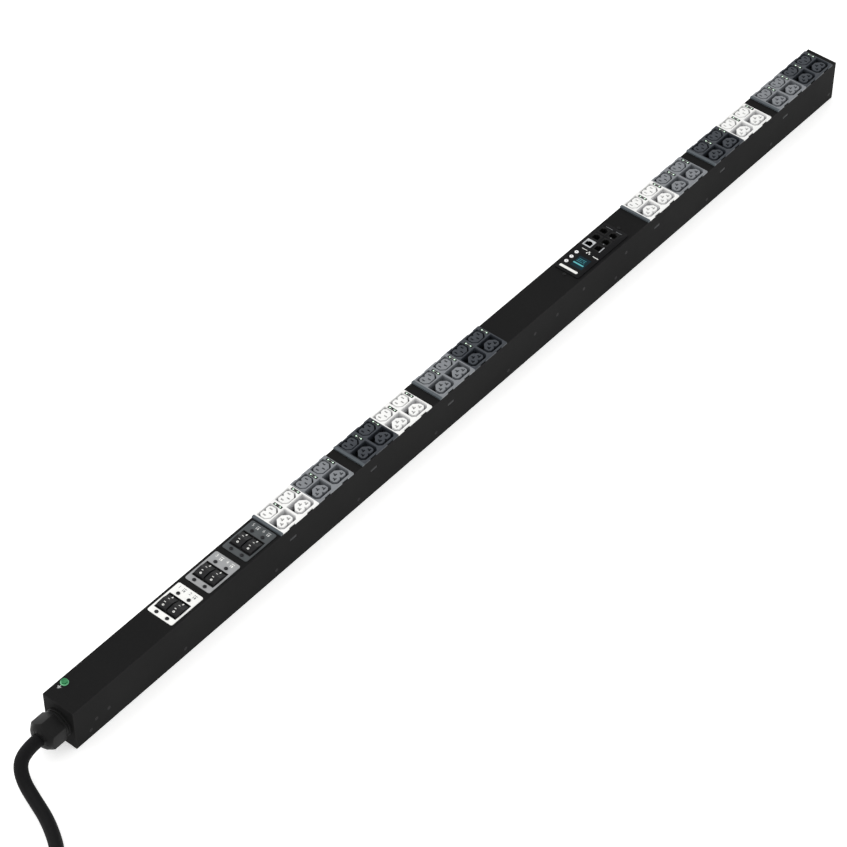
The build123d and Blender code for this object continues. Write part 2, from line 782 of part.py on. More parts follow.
def display():
    x, y = at(controller_at) + display_at[0], display_at[1]
    long, wide = display_size
    lens_low, lens_high = face_top - 0.1, face_top + fascia_size[2] - 0.2
    lens = brick(x - long / 2, x + long / 2, y - wide / 2, y + wide / 2, lens_low, lens_high)
    panel_x, panel_y = long / 2 + 0.5, wide / 2 + 1
    panel = brick(x - panel_x, x + panel_x, y - panel_y, y + panel_y, controller_board_top, lens_low)
    return [lens, panel]


def controller_button(place):
    x, y = at(controller_at) + place[0], place[1]
    top = face_top + fascia_size[2] + button_proud
    body = post(x, y, face_top - 1, top, button_radius)
    body = chamfer(body.edges().sort_by(Axis.Z)[-1], 0.5)
    body += post(x, y, face_top - 1.6, face_top - 0.2, button_radius + 0.9)
    return body + post(x, y, controller_board_top + 4.6, face_top - 1.6, 1.5)


def port(x, y):
    """Jack with a stepped cavity that opens through the fascia."""
    top = face_top + fascia_size[2] - 0.1
    body = brick(x - port_size[0] / 2, x + port_size[0] / 2, y - port_size[1] / 2,
                 y + port_size[1] / 2, controller_board_top, top)
    long, wide, deep = port_cavity
    cavity = brick(x - long / 2 - 1, x + long / 2 - 1, y - wide / 2, y + wide / 2, top - deep, top + 1)
    cavity += brick(x + long / 2 - 1, x + long / 2 + 1.2, y - 3, y + 3, top - deep + 3, top + 1)
    return body - cavity


def controller_board():
    x = at(controller_at)
    under = controller_board_top - board_sheet
    parts = [brick(x - 59, x + 59, -22, 22, under, controller_board_top)]
    parts += [brick(x + bx - 3, x + bx + 3, by - 3, by + 3, controller_board_top,
                    controller_board_top + 3.6) for bx, by in button_at]
    parts.append(brick(x - 20, x + 6, -12, 14, under - 2.2, under))
    parts.append(brick(x + 14, x + 30, -8, 8, under - 3, under))
    parts.append(post(x - 38, 4, under - 4, under, 10))
    return parts


# ---- cord ----

def cord_radii(points):
    """Largest even arc at each corner: 0.45 of the shorter run over the tangent of half the turn."""
    radii = []
    for a, b, c in zip(points, points[1:], points[2:]):
        first, second = Vector(*b) - Vector(*a), Vector(*c) - Vector(*b)
        turn = first.get_angle(second)
        shorter = min(first.length, second.length)
        radius = 0.45 * shorter / math.tan(math.radians(turn / 2))
        print(f"cord corner {b}: run {shorter:.0f}, turn {turn:.0f} degrees, radius {radius:.0f}")
        radii.append(radius)
    return radii


def cord_tube():
    route = [(cord_exit(), 0, gland_height)] + cord_run
    path = FilletPolyline(*route, radius=cord_radii(route))
    start = Plane(origin=route[0], z_dir=path % 0)
    tube = sweep(start * Circle(cord_radius), path=path)
    print(f"cord tube: {path.length:.0f} long, volume {tube.volume:.0f}, "
          f"section times length {math.pi * cord_radius ** 2 * path.length:.0f}")
    y, z = plug_axis()
    return [tube, bar(tail_end, tail_start, y, z, cord_radius)]


def cord_coil():
    """Outer shape of the wound turns: two beside each other, in two layers."""
    outer = coil_turn_radius + cord_radius
    inner = coil_turn_radius - cord_diameter - cord_radius
    low = cord_lift - cord_radius
    high = low + coil_layers * cord_diameter
    ring = post(*coil_middle, low, high, outer) - post(*coil_middle, low - past, high + past, inner)
    rim = ring.edges().filter_by(GeomType.CIRCLE)
    return fillet(rim, cord_radius * 0.8)


def plug_axis():
    """Place and height of the line along X that the tail and the plug lie on."""
    return (coil_middle[1] - coil_turn_radius, cord_lift + cord_diameter)


def plug_body():
    y, z = plug_axis()
    front = plug_length
    outline = make_face(Polyline((0, 0), (plug_rear_radius, 0), (plug_rear_radius + 2, 8),
                                 (plug_radius - 3, plug_rear_length), (plug_radius, plug_rear_length + 4),
                                 (plug_radius, front - 2), (plug_radius - 2, front), (0, front), (0, 0)))
    body = revolve(outline, Axis.Y)
    return Pos(tail_end, y, z) * Rot(0, 0, 90) * body


def plug_blades():
    """Four curved blades around a centre pin."""
    y, z = plug_axis()
    x0, x1 = tail_end - plug_length - blade_length, tail_end - plug_length
    blades = [bar(x0, x1, y, z, 3.2)]
    blade_count, first_angle = 4, 20
    for i in range(blade_count):
        outline = blade_face(360 / blade_count * i + first_angle)
        blades.append(Pos(x0, y, z) * Rot(0, 90, 0) * extrude(outline, blade_length))
    return blades


def blade_face(start):
    ring_radius, thickness, span = 15, 1.8, 50
    outer = CenterArc((0, 0), ring_radius + thickness / 2, start, span)
    inner = CenterArc((0, 0), ring_radius - thickness / 2, start, span)
    return make_face([outer, inner, Line(outer @ 0, inner @ 0), Line(outer @ 1, inner @ 1)])


# ---- write every piece ----

os.makedirs("parts", exist_ok=True)
print(f"case {length:.1f} by {width:.1f} by {depth:.1f}")
save("rear_channel", [rear_channel()])
save("stiffener_tray", [stiffener_tray()])
save("case_fasteners", [flush_fastener(*place) for place in fastener_list()] + controller_screws())
save("front_cover_input", [front_cover_input()])
save("front_cover_middle", [front_cover_middle()])
save("front_bridges", front_bridges())
save("cord_end_plate", [cord_end_plate()])
save("far_end_cap", [far_end_cap()])
save("gland_body", [gland_body()])
save("gland_nut", [gland_nut()])
save("gland_seal", [gland_seal()])
save("gland_locknut", [gland_locknut()])
save("ground_screw", [ground_screw()])
for number, middle in enumerate(breaker_middles()):
    save(f"breaker_bezel_{number + 1}", [breaker_bezel(middle)])
    for column, side in enumerate((1, -1)):
        save(f"breaker_rocker_{2 * number + column + 1}", [breaker_rocker(middle, side)])
save("breaker_bodies", [breaker(middle, side) for middle in breaker_middles() for side in (1, -1)])
save("breaker_screws", breaker_screws())
save("module_carriers", [module_carrier(start) for start in module_starts])
cores = {"white": [], "grey": [], "dark": []}
left_piece, right_piece = left_core_solid(), right_core_solid()
for letter, start in zip("ABCDEF", module_starts):
    for number, half in enumerate(half_starts(start)):
        save(f"outlet_block_{letter}{number + 1}", [outlet_block(half)])
        colour = half_colours.pop(0)
        left, right = outlet_places(half)
        cores[colour] += [Pos(x, y, floor_top) * left_piece for x, y in left]
        cores[colour] += [Pos(x, y, floor_top) * right_piece for x, y in right]
for colour, pieces in cores.items():
    save(f"outlet_cores_{colour}", pieces)
save("outlet_contacts", outlet_contacts())
save("indicator_strips", indicator_strips())
save("indicator_lights", indicator_lights())
save("module_boards", module_boards())
save("supply_wires", supply_wires())
save("terminal_block", [terminal_block()])
save("power_supply", power_supply())
save("controller_housing", [controller_housing()])
save("controller_fascia", [controller_fascia()])
save("display", display())
for number, place in enumerate(button_at):
    save(f"controller_button_{number + 1}", [controller_button(place)])
save("shielded_ports", [port(x, y) for x, y in port_places()[:shielded_count]])
save("plain_ports", [port(x, y) for x, y in port_places()[shielded_count:]])
save("controller_board", controller_board())
save("cord_tube", cord_tube())
save("cord_coil", [cord_coil()])
save("plug_body", [plug_body()])
save("plug_blades", plug_blades())
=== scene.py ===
import bpy
import json
import math
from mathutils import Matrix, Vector


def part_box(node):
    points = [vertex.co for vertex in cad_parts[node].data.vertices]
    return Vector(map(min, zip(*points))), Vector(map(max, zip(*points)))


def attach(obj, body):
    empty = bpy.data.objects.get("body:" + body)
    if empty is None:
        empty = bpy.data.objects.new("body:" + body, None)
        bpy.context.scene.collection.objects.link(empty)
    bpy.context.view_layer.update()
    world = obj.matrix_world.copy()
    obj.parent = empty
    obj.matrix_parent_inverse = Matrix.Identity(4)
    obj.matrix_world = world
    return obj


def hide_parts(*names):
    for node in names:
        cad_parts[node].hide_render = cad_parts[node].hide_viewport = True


# Looks of the rack power strip. Metres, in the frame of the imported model:
# +X runs from the cord end to the far end, +Y to the left of the face, +Z out of the face.

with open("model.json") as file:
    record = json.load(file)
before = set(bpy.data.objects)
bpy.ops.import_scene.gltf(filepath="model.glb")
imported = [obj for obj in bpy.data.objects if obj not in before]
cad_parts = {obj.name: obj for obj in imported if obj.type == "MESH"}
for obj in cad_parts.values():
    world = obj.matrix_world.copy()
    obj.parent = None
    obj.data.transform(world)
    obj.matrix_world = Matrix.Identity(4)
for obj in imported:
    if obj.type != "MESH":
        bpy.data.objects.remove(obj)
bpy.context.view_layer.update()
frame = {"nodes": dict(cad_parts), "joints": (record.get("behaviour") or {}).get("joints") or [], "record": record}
mm = 0.001
strip = "strip"  # the body that everything but the rockers and buttons rides on
cadNodes = frame["nodes"]
moduleLetters = "ABCDEF"
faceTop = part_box("front_cover_input")[1].z
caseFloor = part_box("rear_channel")[0].z
print("frame loaded with", len(cadNodes), "nodes")


# Modelling helpers

def leaveEdit():
    bpy.ops.object.mode_set(mode="OBJECT")


def clear():
    if bpy.context.object and bpy.context.object.mode != "OBJECT":
        leaveEdit()
    bpy.ops.object.select_all(action="DESELECT")


def pick(*pieces):
    clear()
    for piece in pieces:
        piece.select_set(True)
    bpy.context.view_layer.objects.active = pieces[0]


def settle(piece, name):
    # the place goes into the mesh, so that the object sits at the origin
    pick(piece)
    bpy.ops.object.transform_apply(location=True, rotation=True, scale=True)
    piece.name = name
    piece.data.name = name
    return piece


def edit(piece):
    pick(piece)
    bpy.ops.object.mode_set(mode="EDIT")
    bpy.ops.mesh.select_mode(type="FACE")
    bpy.ops.mesh.select_all(action="SELECT")


def chooseFaces(piece, wanted):
    # ends in edit mode, with just the wanted faces selected
    edit(piece)
    bpy.ops.mesh.select_all(action="DESELECT")
    leaveEdit()
    for face in piece.data.polygons:
        face.select = wanted(face)
    bpy.ops.object.mode_set(mode="EDIT")


def rotateMesh(piece, angle, axis, centre):
    edit(piece)
    bpy.ops.transform.rotate(value=angle, orient_axis=axis, center_override=centre)
    leaveEdit()


def roundEdges(piece, wanted, radius, segments):
    # rounds the edges whose two ends fit
    edit(piece)
    bpy.ops.mesh.select_all(action="DESELECT")
    bpy.ops.mesh.select_mode(type="EDGE")
    leaveEdit()
    for edge in piece.data.edges:
        edge.select = wanted(*(piece.data.vertices[i].co for i in edge.vertices))
    bpy.ops.object.mode_set(mode="EDIT")
    bpy.ops.mesh.bevel(offset=radius, segments=segments)
    leaveEdit()


def block(name, low, high):
    clear()
    low, high = Vector(low), Vector(high)
    bpy.ops.mesh.primitive_cube_add(size=1, location=(low + high) / 2, scale=high - low)
    return settle(bpy.context.object, name)


def turned(name, origin, axis, profile, sides=48):
    # a disc is extruded and resized along the axis, one step of (distance, radius) at a time
    clear()
    axis = Vector(axis).normalized()
    origin = Vector(origin)
    at, radius = profile[0]
    bpy.ops.mesh.primitive_circle_add(vertices=sides, radius=radius, fill_type="NGON",
                                      location=origin + axis * at,
                                      rotation=axis.to_track_quat("Z", "Y").to_euler())
    piece = settle(bpy.context.object, name)
    edit(piece)
    for distance, size in profile[1:]:
        bpy.ops.mesh.extrude_region_move(TRANSFORM_OT_translate={"value": axis * (distance - at)})
        bpy.ops.transform.resize(value=(size / radius,) * 3, center_override=origin + axis * distance)
        at, radius = distance, size
    bpy.ops.mesh.select_all(action="SELECT")
    bpy.ops.mesh.remove_doubles(threshold=0.000001)
    bpy.ops.mesh.normals_make_consistent(inside=False)
    leaveEdit()
    return piece


def applyModifier(piece, kind, **settings):
    pick(piece)
    modifier = piece.modifiers.new(kind.lower(), kind)
    for key, value in settings.items():
        setattr(modifier, key, value)
    bpy.ops.object.modifier_apply(modifier=modifier.name)
    return piece


def soften(piece, width, segments=2, angle=30):
    applyModifier(piece, "BEVEL", width=width, segments=segments, limit_method="ANGLE",
                  angle_limit=math.radians(angle), use_clamp_overlap=True)
    smooth(piece)
    return piece


def smooth(piece, angle=35):
    pick(piece)
    bpy.ops.object.shade_smooth_by_angle(angle=math.radians(angle))


def cutWith(piece, tool, operation="DIFFERENCE"):
    applyModifier(piece, "BOOLEAN", object=tool, operation=operation, solver="EXACT")
    bpy.data.objects.remove(tool, do_unlink=True)
    return piece


def joined(name, pieces):
    pick(*pieces)
    if len(pieces) > 1:
        bpy.ops.object.join()
    piece = bpy.context.object
    piece.name = name
    piece.data.name = name
    return piece


def copied(piece, offset):
    twin = piece.copy()
    twin.data = piece.data.copy()
    bpy.context.scene.collection.objects.link(twin)
    twin.location = offset
    return settle(twin, piece.name + "Copy")


def fromCad(node, name):
    # a merged copy of a CAD piece, with its flat faces whole again
    piece = bpy.data.objects.new(name, cadNodes[node].data.copy())
    bpy.context.scene.collection.objects.link(piece)
    piece.data.name = name
    piece.data.materials.clear()
    edit(piece)
    bpy.ops.mesh.remove_doubles(threshold=0.000002)
    bpy.ops.mesh.dissolve_limited(angle_limit=math.radians(1))
    leaveEdit()
    return piece


def wear(piece, material, slotName, body=strip, *nodes):
    piece.data.materials.clear()
    piece.data.materials.append(material)
    place(piece, slotName, body, *nodes)
    return piece


def place(piece, slotName, body=strip, *nodes):
    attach(piece, body)
    if nodes:
        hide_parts(*nodes)


def flatMark(name, middle, size, height=0.06 * mm, corner=0.0):
    # a printed mark: a thin raised block, with its corners rounded where it has any
    half = Vector((size[0] / 2, size[1] / 2, 0))
    middle = Vector(middle)
    mark = block(name, middle - half, middle + half + Vector((0, 0, height)))
    if corner:
        roundEdges(mark, lambda a, b: abs(a.z - b.z) > height / 2, corner, 5)
    return mark


def numeral(text, middle, size):
    # read with the cord end down
    clear()
    bpy.ops.object.text_add(location=middle, rotation=(0, 0, -math.pi / 2))
    letter = bpy.context.object
    letter.data.body = text
    letter.data.size = size
    letter.data.align_x = "CENTER"
    letter.data.align_y = "CENTER"
    letter.data.resolution_u = 3
    letter.data.extrude = 0.02 * mm
    bpy.ops.object.convert(target="MESH")
    return settle(bpy.context.object, "numeral" + text)


# Materials

def fromScreen(tone):
    # red, green and blue as seen, 0 to 255, to linear
    return [((v / 255 + 0.055) / 1.055) ** 2.4 if v > 10 else v / 255 / 12.92 for v in tone] + [1]


def newGroup(name, inputs, outputs):
    group = bpy.data.node_groups.new(name, "ShaderNodeTree")
    for label, value in inputs:
        kind = "NodeSocketColor" if isinstance(value, list) else "NodeSocketFloat"
        group.interface.new_socket(label, in_out="INPUT", socket_type=kind).default_value = value
    for label, kind in outputs:
        group.interface.new_socket(label, in_out="OUTPUT", socket_type=kind)
    group.nodes.new("NodeGroupInput")
    group.nodes.new("NodeGroupOutput")
    return group


def node(tree, kind, values=(), **settings):
    made = tree.nodes.new("ShaderNode" + kind)
    for key, value in settings.items():
        setattr(made, key, value)
    for socket, value in values:
        made.inputs[socket].default_value = value
    return made


def wire(tree, *links):
    for source, leaving, target, entering in links:
        tree.links.new(source.outputs[leaving], target.inputs[entering])


def buildGrain():
    # fine texture of a tool or a powder coat: a height, and a slow mask of darker patches
    group = newGroup("fineGrain", [("Grain Scale", 1800.0), ("Patch Scale", 9.0), ("Patch Contrast", 0.5)],
                     [("Height", "NodeSocketFloat"), ("Patch", "NodeSocketFloat")])
    start, end = group.nodes["Group Input"], group.nodes["Group Output"]
    where = node(group, "TexCoord")
    coarse = node(group, "TexNoise", [("Detail", 3.0), ("Roughness", 0.65)])
    patches = node(group, "TexNoise", [("Detail", 4.0), ("Roughness", 0.6)])
    spread = node(group, "MapRange", [("From Min", 0.35), ("From Max", 0.65)])
    strength = node(group, "Math", operation="MULTIPLY")
    wire(group, (where, "Object", coarse, "Vector"),
         (where, "Object", patches, "Vector"),
         (start, "Grain Scale", coarse, "Scale"),
         (start, "Patch Scale", patches, "Scale"),
         (patches, "Fac", spread, "Value"),
         (spread, "Result", strength, 0),
         (start, "Patch Contrast", strength, 1),
         (coarse, "Fac", end, "Height"),
         (strength, 0, end, "Patch"))
    return group


def buildEdgeRub():
    # where an edge is rubbed lighter: the rounded normal leaves the true one there
    group = newGroup("edgeRub", [("Width", 0.0004), ("Amount", 0.5), ("Breakup Scale", 160.0)],
                     [("Mask", "NodeSocketFloat")])
    start, end = group.nodes["Group Input"], group.nodes["Group Output"]
    where = node(group, "TexCoord")
    shape = node(group, "NewGeometry")
    rounded = node(group, "Bevel", samples=4)
    compare = node(group, "VectorMath", operation="DOT_PRODUCT")
    edge = node(group, "MapRange", [("From Min", 1.0), ("From Max", 0.8)])
    noise = node(group, "TexNoise", [("Detail", 5.0), ("Roughness", 0.7)])
    broken = node(group, "MapRange", [("From Min", 0.42), ("From Max", 0.6)])
    both = node(group, "Math", operation="MULTIPLY")
    amount = node(group, "Math", operation="MULTIPLY")
    wire(group, (start, "Width", rounded, "Radius"),
         (rounded, "Normal", compare, 0),
         (shape, "Normal", compare, 1),
         (compare, "Value", edge, "Value"),
         (where, "Object", noise, "Vector"),
         (start, "Breakup Scale", noise, "Scale"),
         (noise, "Fac", broken, "Value"),
         (edge, "Result", both, 0),
         (broken, "Result", both, 1),
         (both, 0, amount, 0),
         (start, "Amount", amount, 1),
         (amount, 0, end, "Mask"))
    return group


def buildHandling():
    # base colour and roughness, changed by patches, by rubbed edges and by dust on what faces up
    group = newGroup("handledSurface",
                     [("Base", [0.5, 0.5, 0.5, 1]), ("Worn", [0.7, 0.7, 0.7, 1]), ("Patch", 0.0),
                      ("Edge", 0.0), ("Dust", 0.03), ("Roughness", 0.5), ("Roughness Spread", 0.12)],
                     [("Colour", "NodeSocketColor"), ("Roughness", "NodeSocketFloat")])
    start, end = group.nodes["Group Input"], group.nodes["Group Output"]
    where = node(group, "TexCoord")
    shape = node(group, "NewGeometry")
    upward = node(group, "SeparateXYZ")
    facing = node(group, "Math", [(1, 0.0)], operation="MAXIMUM")
    specks = node(group, "TexNoise", [("Scale", 260.0), ("Detail", 6.0), ("Roughness", 0.75)])
    settled = node(group, "MapRange", [("From Min", 0.5), ("From Max", 0.72)])
    dust = node(group, "Math", operation="MULTIPLY")
    dustAmount = node(group, "Math", operation="MULTIPLY")
    darker = node(group, "Mix", [(7, [0.8, 0.8, 0.82, 1])], data_type="RGBA", blend_type="MULTIPLY")
    rubbed = node(group, "Mix", data_type="RGBA")
    dusted = node(group, "Mix", [(7, [0.42, 0.41, 0.39, 1])], data_type="RGBA")
    rough = node(group, "Math", operation="MULTIPLY_ADD")
    rougher = node(group, "Math", operation="ADD", use_clamp=True)
    wire(group, (shape, "Normal", upward, 0),
         (upward, "Z", facing, 0),
         (where, "Object", specks, "Vector"),
         (specks, "Fac", settled, "Value"),
         (facing, 0, dust, 0),
         (settled, "Result", dust, 1),
         (dust, 0, dustAmount, 0),
         (start, "Dust", dustAmount, 1),
         (start, "Patch", darker, 0),
         (start, "Base", darker, 6),
         (darker, 2, rubbed, 6),
         (start, "Edge", rubbed, 0),
         (start, "Worn", rubbed, 7),
         (rubbed, 2, dusted, 6),
         (dustAmount, 0, dusted, 0),
         (start, "Patch", rough, 0),
         (start, "Roughness Spread", rough, 1),
         (start, "Roughness", rough, 2),
         (rough, 0, rougher, 0),
         (dustAmount, 0, rougher, 1),
         (dusted, 2, end, "Colour"),
         (rougher, 0, end, "Roughness"))
    return group


fineGrain = buildGrain()
edgeRub = buildEdgeRub()
handledSurface = buildHandling()


def setSockets(target, values):
    for label, value in values.items():
        target.inputs[label].default_value = value


def groupNode(tree, group, values):
    made = tree.nodes.new("ShaderNodeGroup")
    made.node_tree = group
    made.name = group.name
    setSockets(made, values)
    return made


def newMaterial(name):
    material = bpy.data.materials.new(name)
    material.use_nodes = True
    return material, material.node_tree, material.node_tree.nodes["Principled BSDF"]


def surface(name, colour, worn=None, roughness=0.5, spread=0.12, grain=1800, depth=0.02, patch=9,
            contrast=0.5, edge=0.4, edgeWidth=0.4, dust=0.03, metallic=0.0, specular=0.4):
    # a solid finish; colours as seen, grain depth and edge width in millimetres
    base = fromScreen(colour)
    material, tree, shader = newMaterial(name)
    texture = groupNode(tree, fineGrain, {"Grain Scale": grain, "Patch Scale": patch,
                                          "Patch Contrast": contrast})
    rub = groupNode(tree, edgeRub, {"Width": edgeWidth * mm, "Amount": edge})
    handled = groupNode(tree, handledSurface, {"Base": base, "Worn": fromScreen(worn or colour), "Dust": dust,
                                               "Roughness": roughness, "Roughness Spread": spread})
    bump = node(tree, "Bump", [("Strength", 0.6), ("Distance", depth * mm)])
    wire(tree, (texture, "Patch", handled, "Patch"),
         (rub, "Mask", handled, "Edge"),
         (handled, "Colour", shader, "Base Color"),
         (handled, "Roughness", shader, "Roughness"),
         (texture, "Height", bump, "Height"),
         (bump, "Normal", shader, "Normal"))
    setSockets(shader, {"Metallic": metallic, "Specular IOR Level": specular})
    material.diffuse_color = base
    return material


def glowing(name, colour, strength, base):
    # a lit surface whose brightness varies a little over it
    material, tree, shader = newMaterial(name)
    texture = groupNode(tree, fineGrain, {"Grain Scale": 400, "Patch Scale": 400 / 3, "Patch Contrast": 0.5})
    lit, plain = fromScreen(colour), fromScreen(base)
    dim = node(tree, "Mix", [(6, lit), (7, [v * 0.7 for v in lit[:3]] + [1])], data_type="RGBA")
    tint = node(tree, "Mix", [(6, plain), (7, [v * 0.8 for v in plain[:3]] + [1])], data_type="RGBA")
    wire(tree, (texture, "Patch", dim, 0), (dim, 2, shader, "Emission Color"),
         (texture, "Patch", tint, 0), (tint, 2, shader, "Base Color"))
    setSockets(shader, {"Emission Strength": strength, "Roughness": 0.3, "Specular IOR Level": 0.3})
    return material


def circuitBoard():
    # green lacquer over tracks that run square to each other
    material = surface("circuitBoard", (18, 74, 42), (30, 96, 58), roughness=0.35, grain=700, depth=0.03,
                       patch=60, contrast=0.8, edge=0.3)
    tree = material.node_tree
    where = node(tree, "TexCoord")
    tracks = node(tree, "TexBrick", [("Scale", 160.0), ("Mortar Size", 0.03),
                                     ("Color1", fromScreen((18, 74, 42))),
                                     ("Color2", fromScreen((15, 64, 36))),
                                     ("Mortar", fromScreen((44, 120, 72)))], offset=0.35)
    wire(tree, (where, "Object", tracks, "Vector"),
         (tracks, "Color", tree.nodes["handledSurface"], "Base"))
    return material


def displayGlass():
    # teal panel seen through the window, darker towards its edges
    material, tree, shader = newMaterial("displayGlass")
    low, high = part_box("display")
    where = node(tree, "TexCoord")
    centred = node(tree, "Mapping", [("Location", (low + high) / 2), ("Scale", (high - low) / 2)],
                   vector_type="TEXTURE")
    halo = node(tree, "TexGradient", gradient_type="SPHERICAL")
    ramp = node(tree, "ValToRGB")
    ramp.color_ramp.elements[0].color = fromScreen((8, 44, 54))
    ramp.color_ramp.elements[1].color = fromScreen((16, 88, 98))
    ramp.color_ramp.elements[1].position = 0.8
    rows = node(tree, "TexWave", [("Scale", 900.0), ("Distortion", 0.0)], bands_direction="X")
    lines = node(tree, "Mix", [(0, 0.35)], data_type="RGBA", blend_type="MULTIPLY")
    wire(tree, (where, "Object", centred, "Vector"),
         (centred, "Vector", halo, "Vector"),
         (halo, "Fac", ramp, "Fac"),
         (where, "Object", rows, "Vector"),
         (ramp, "Color", lines, 6), (rows, "Color", lines, 7),
         (lines, 2, shader, "Emission Color"))
    setSockets(shader, {"Emission Strength": 0.7, "Base Color": fromScreen((10, 20, 24)),
                        "Roughness": 0.08, "Specular IOR Level": 0.08})
    return material


finishes = {
    "black_powder_coat": surface("satinPowderCoat", (29, 29, 29), (64, 64, 65), roughness=0.55, grain=1300,
        depth=0.035, patch=5, edge=0.3, edgeWidth=0.5, dust=0.006, specular=0.03),
    "zinc_plate": surface("zincPlate", (150, 152, 156), (196, 198, 200), roughness=0.38, grain=900,
        depth=0.01, patch=30, metallic=1.0, dust=0.02),
    "white_moulding": surface("whiteMoulding", (243, 243, 240), (250, 250, 248), roughness=0.42, grain=2600,
        depth=0.012, contrast=0.22, dust=0.02),
    "grey_moulding": surface("greyMoulding", (154, 155, 156), (186, 187, 188), roughness=0.45, grain=2600,
        depth=0.014, contrast=0.3, dust=0.03, edge=0.5),
    "dark_moulding": surface("darkMoulding", (70, 74, 76), (106, 110, 112), roughness=0.45, grain=2600,
        depth=0.014, contrast=0.35, dust=0.02, edge=0.5, specular=0.3),
    "carrier_moulding": surface("charcoalMoulding", (80, 87, 92), (124, 130, 134), roughness=0.48,
        grain=2200, depth=0.016, contrast=0.35, dust=0.03, edge=0.45, specular=0.3),
    "black_nylon": surface("blackNylon", (26, 26, 26), (56, 56, 58), roughness=0.42, grain=1500, depth=0.02,
        edge=0.35, dust=0.006, specular=0.1),
    "black_rubber": surface("blackRubber", (22, 22, 22), (60, 60, 60), roughness=0.7, grain=1100,
        depth=0.03, edge=0.2, specular=0.2),
    "green_screw": surface("greenPassivated", (104, 186, 134), (160, 226, 182), roughness=0.32, grain=700,
        depth=0.01, patch=120, metallic=0.15, edge=0.9, edgeWidth=0.6, dust=0.0),
    "black_screw": surface("blackOxide", (38, 38, 41), (112, 112, 116), roughness=0.38, grain=900,
        depth=0.01, patch=80, metallic=0.6, edge=0.6),
    "rocker_black": surface("rockerBlack", (20, 20, 22), (76, 76, 80), roughness=0.3, grain=2600,
        depth=0.008, edge=0.4, dust=0.01, specular=0.22),
    "brass_contact": surface("plainBrass", (204, 172, 104), (232, 208, 150), roughness=0.3, grain=1200,
        depth=0.006, patch=90, metallic=1.0, dust=0.0),
    "strip_black": surface("inlayBlack", (20, 26, 23), (50, 62, 54), roughness=0.2, grain=1500, depth=0.004,
        patch=90, edge=0.2, dust=0.01, specular=0.3),
    "light_pipe": glowing("litPipe", (214, 240, 218), 0.8, (200, 228, 206)),
    "circuit_board": circuitBoard(),
    "wire_insulation": surface("wireInsulation", (34, 34, 36), (70, 70, 72), roughness=0.4, grain=1500,
        depth=0.01, patch=40, edge=0.2),
    "gloss_black": surface("glossBlack", (24, 24, 25), (60, 60, 64), roughness=0.12, spread=0.1, grain=300,
        depth=0.002, patch=45, edge=0.3, dust=0.004, specular=0.05),
    "display_screen": displayGlass(),
    "white_button": surface("whiteButton", (242, 242, 242), (250, 250, 250), roughness=0.28, grain=2600,
        depth=0.006, contrast=0.15, dust=0.01),
    "port_shield": surface("tinnedShield", (206, 208, 210), (236, 236, 238), roughness=0.28, grain=900,
        depth=0.006, patch=70, metallic=0.85, dust=0.01),
    "cord_jacket": surface("cordJacket", (16, 16, 17), (48, 48, 50), roughness=0.6, grain=1400, depth=0.04,
        patch=14, edge=0.0, dust=0.008, specular=0.1),
    "plug_rubber": surface("plugRubber", (26, 26, 28), (74, 74, 76), roughness=0.55, grain=1200, depth=0.03,
        edge=0.3, specular=0.25),
}
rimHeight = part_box("outlet_block_A1")[1].z


def paintShadeBelow(material, colour, paintedShadeColour, low, high):
    # painted shade: the base goes from a darker shade colour to the plain colour between two heights, standing in
    # for the shade that falls in a recess
    tree = material.node_tree
    where = node(tree, "TexCoord")
    height = node(tree, "SeparateXYZ")
    fall = node(tree, "MapRange", [("From Min", low), ("From Max", high)])
    shade = node(tree, "Mix", [(6, fromScreen(paintedShadeColour)), (7, fromScreen(colour))], data_type="RGBA")
    wire(tree, (where, "Object", height, 0),
         (height, "Z", fall, "Value"),
         (fall, "Result", shade, 0),
         (shade, 2, tree.nodes["handledSurface"], "Base"))
    return material


def outletMoulding(name, colour, paintedShadeColour, worn, **settings):
    # painted shade: pocket walls are darker a little below the rim, where shade falls inside the pocket
    material = surface(name, colour, worn, grain=2600, depth=0.014, **settings)
    return paintShadeBelow(material, colour, paintedShadeColour, rimHeight - 4.5 * mm, rimHeight - 1.5 * mm)


def printInk(name, tone):
    return surface(name, tone, grain=2600, depth=0.004, patch=140, contrast=0.3, edge=0.0, dust=0.0)


# the second colour of each is the painted shade of its pocket walls
outletFinishes = {
    "white_moulding": outletMoulding("whiteOutlet", (243, 243, 241), (222, 222, 223), (250, 250, 248),
        roughness=0.42, contrast=0.2, dust=0.015),
    "grey_moulding": outletMoulding("greyOutlet", (126, 129, 133), (116, 120, 125), (172, 175, 178),
        roughness=0.45, contrast=0.3, dust=0.02, edge=0.5),
    "dark_moulding": outletMoulding("darkOutlet", (58, 62, 68), (46, 50, 56), (100, 105, 112),
        roughness=0.45, contrast=0.35, dust=0.015, edge=0.5, specular=0.25),
}
dullSteel = surface("dullSteel", (30, 30, 31), (60, 60, 62), roughness=0.5, grain=900, depth=0.01, patch=60,
                    metallic=0.0, dust=0.0, specular=0.12)
# painted shade: the carriers darken deep in the pockets, where they lie in shade
paintShadeBelow(finishes["carrier_moulding"], (80, 87, 92), (30, 32, 34),
            rimHeight - 20 * mm, rimHeight - 5 * mm)
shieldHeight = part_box("shielded_ports")[1].z
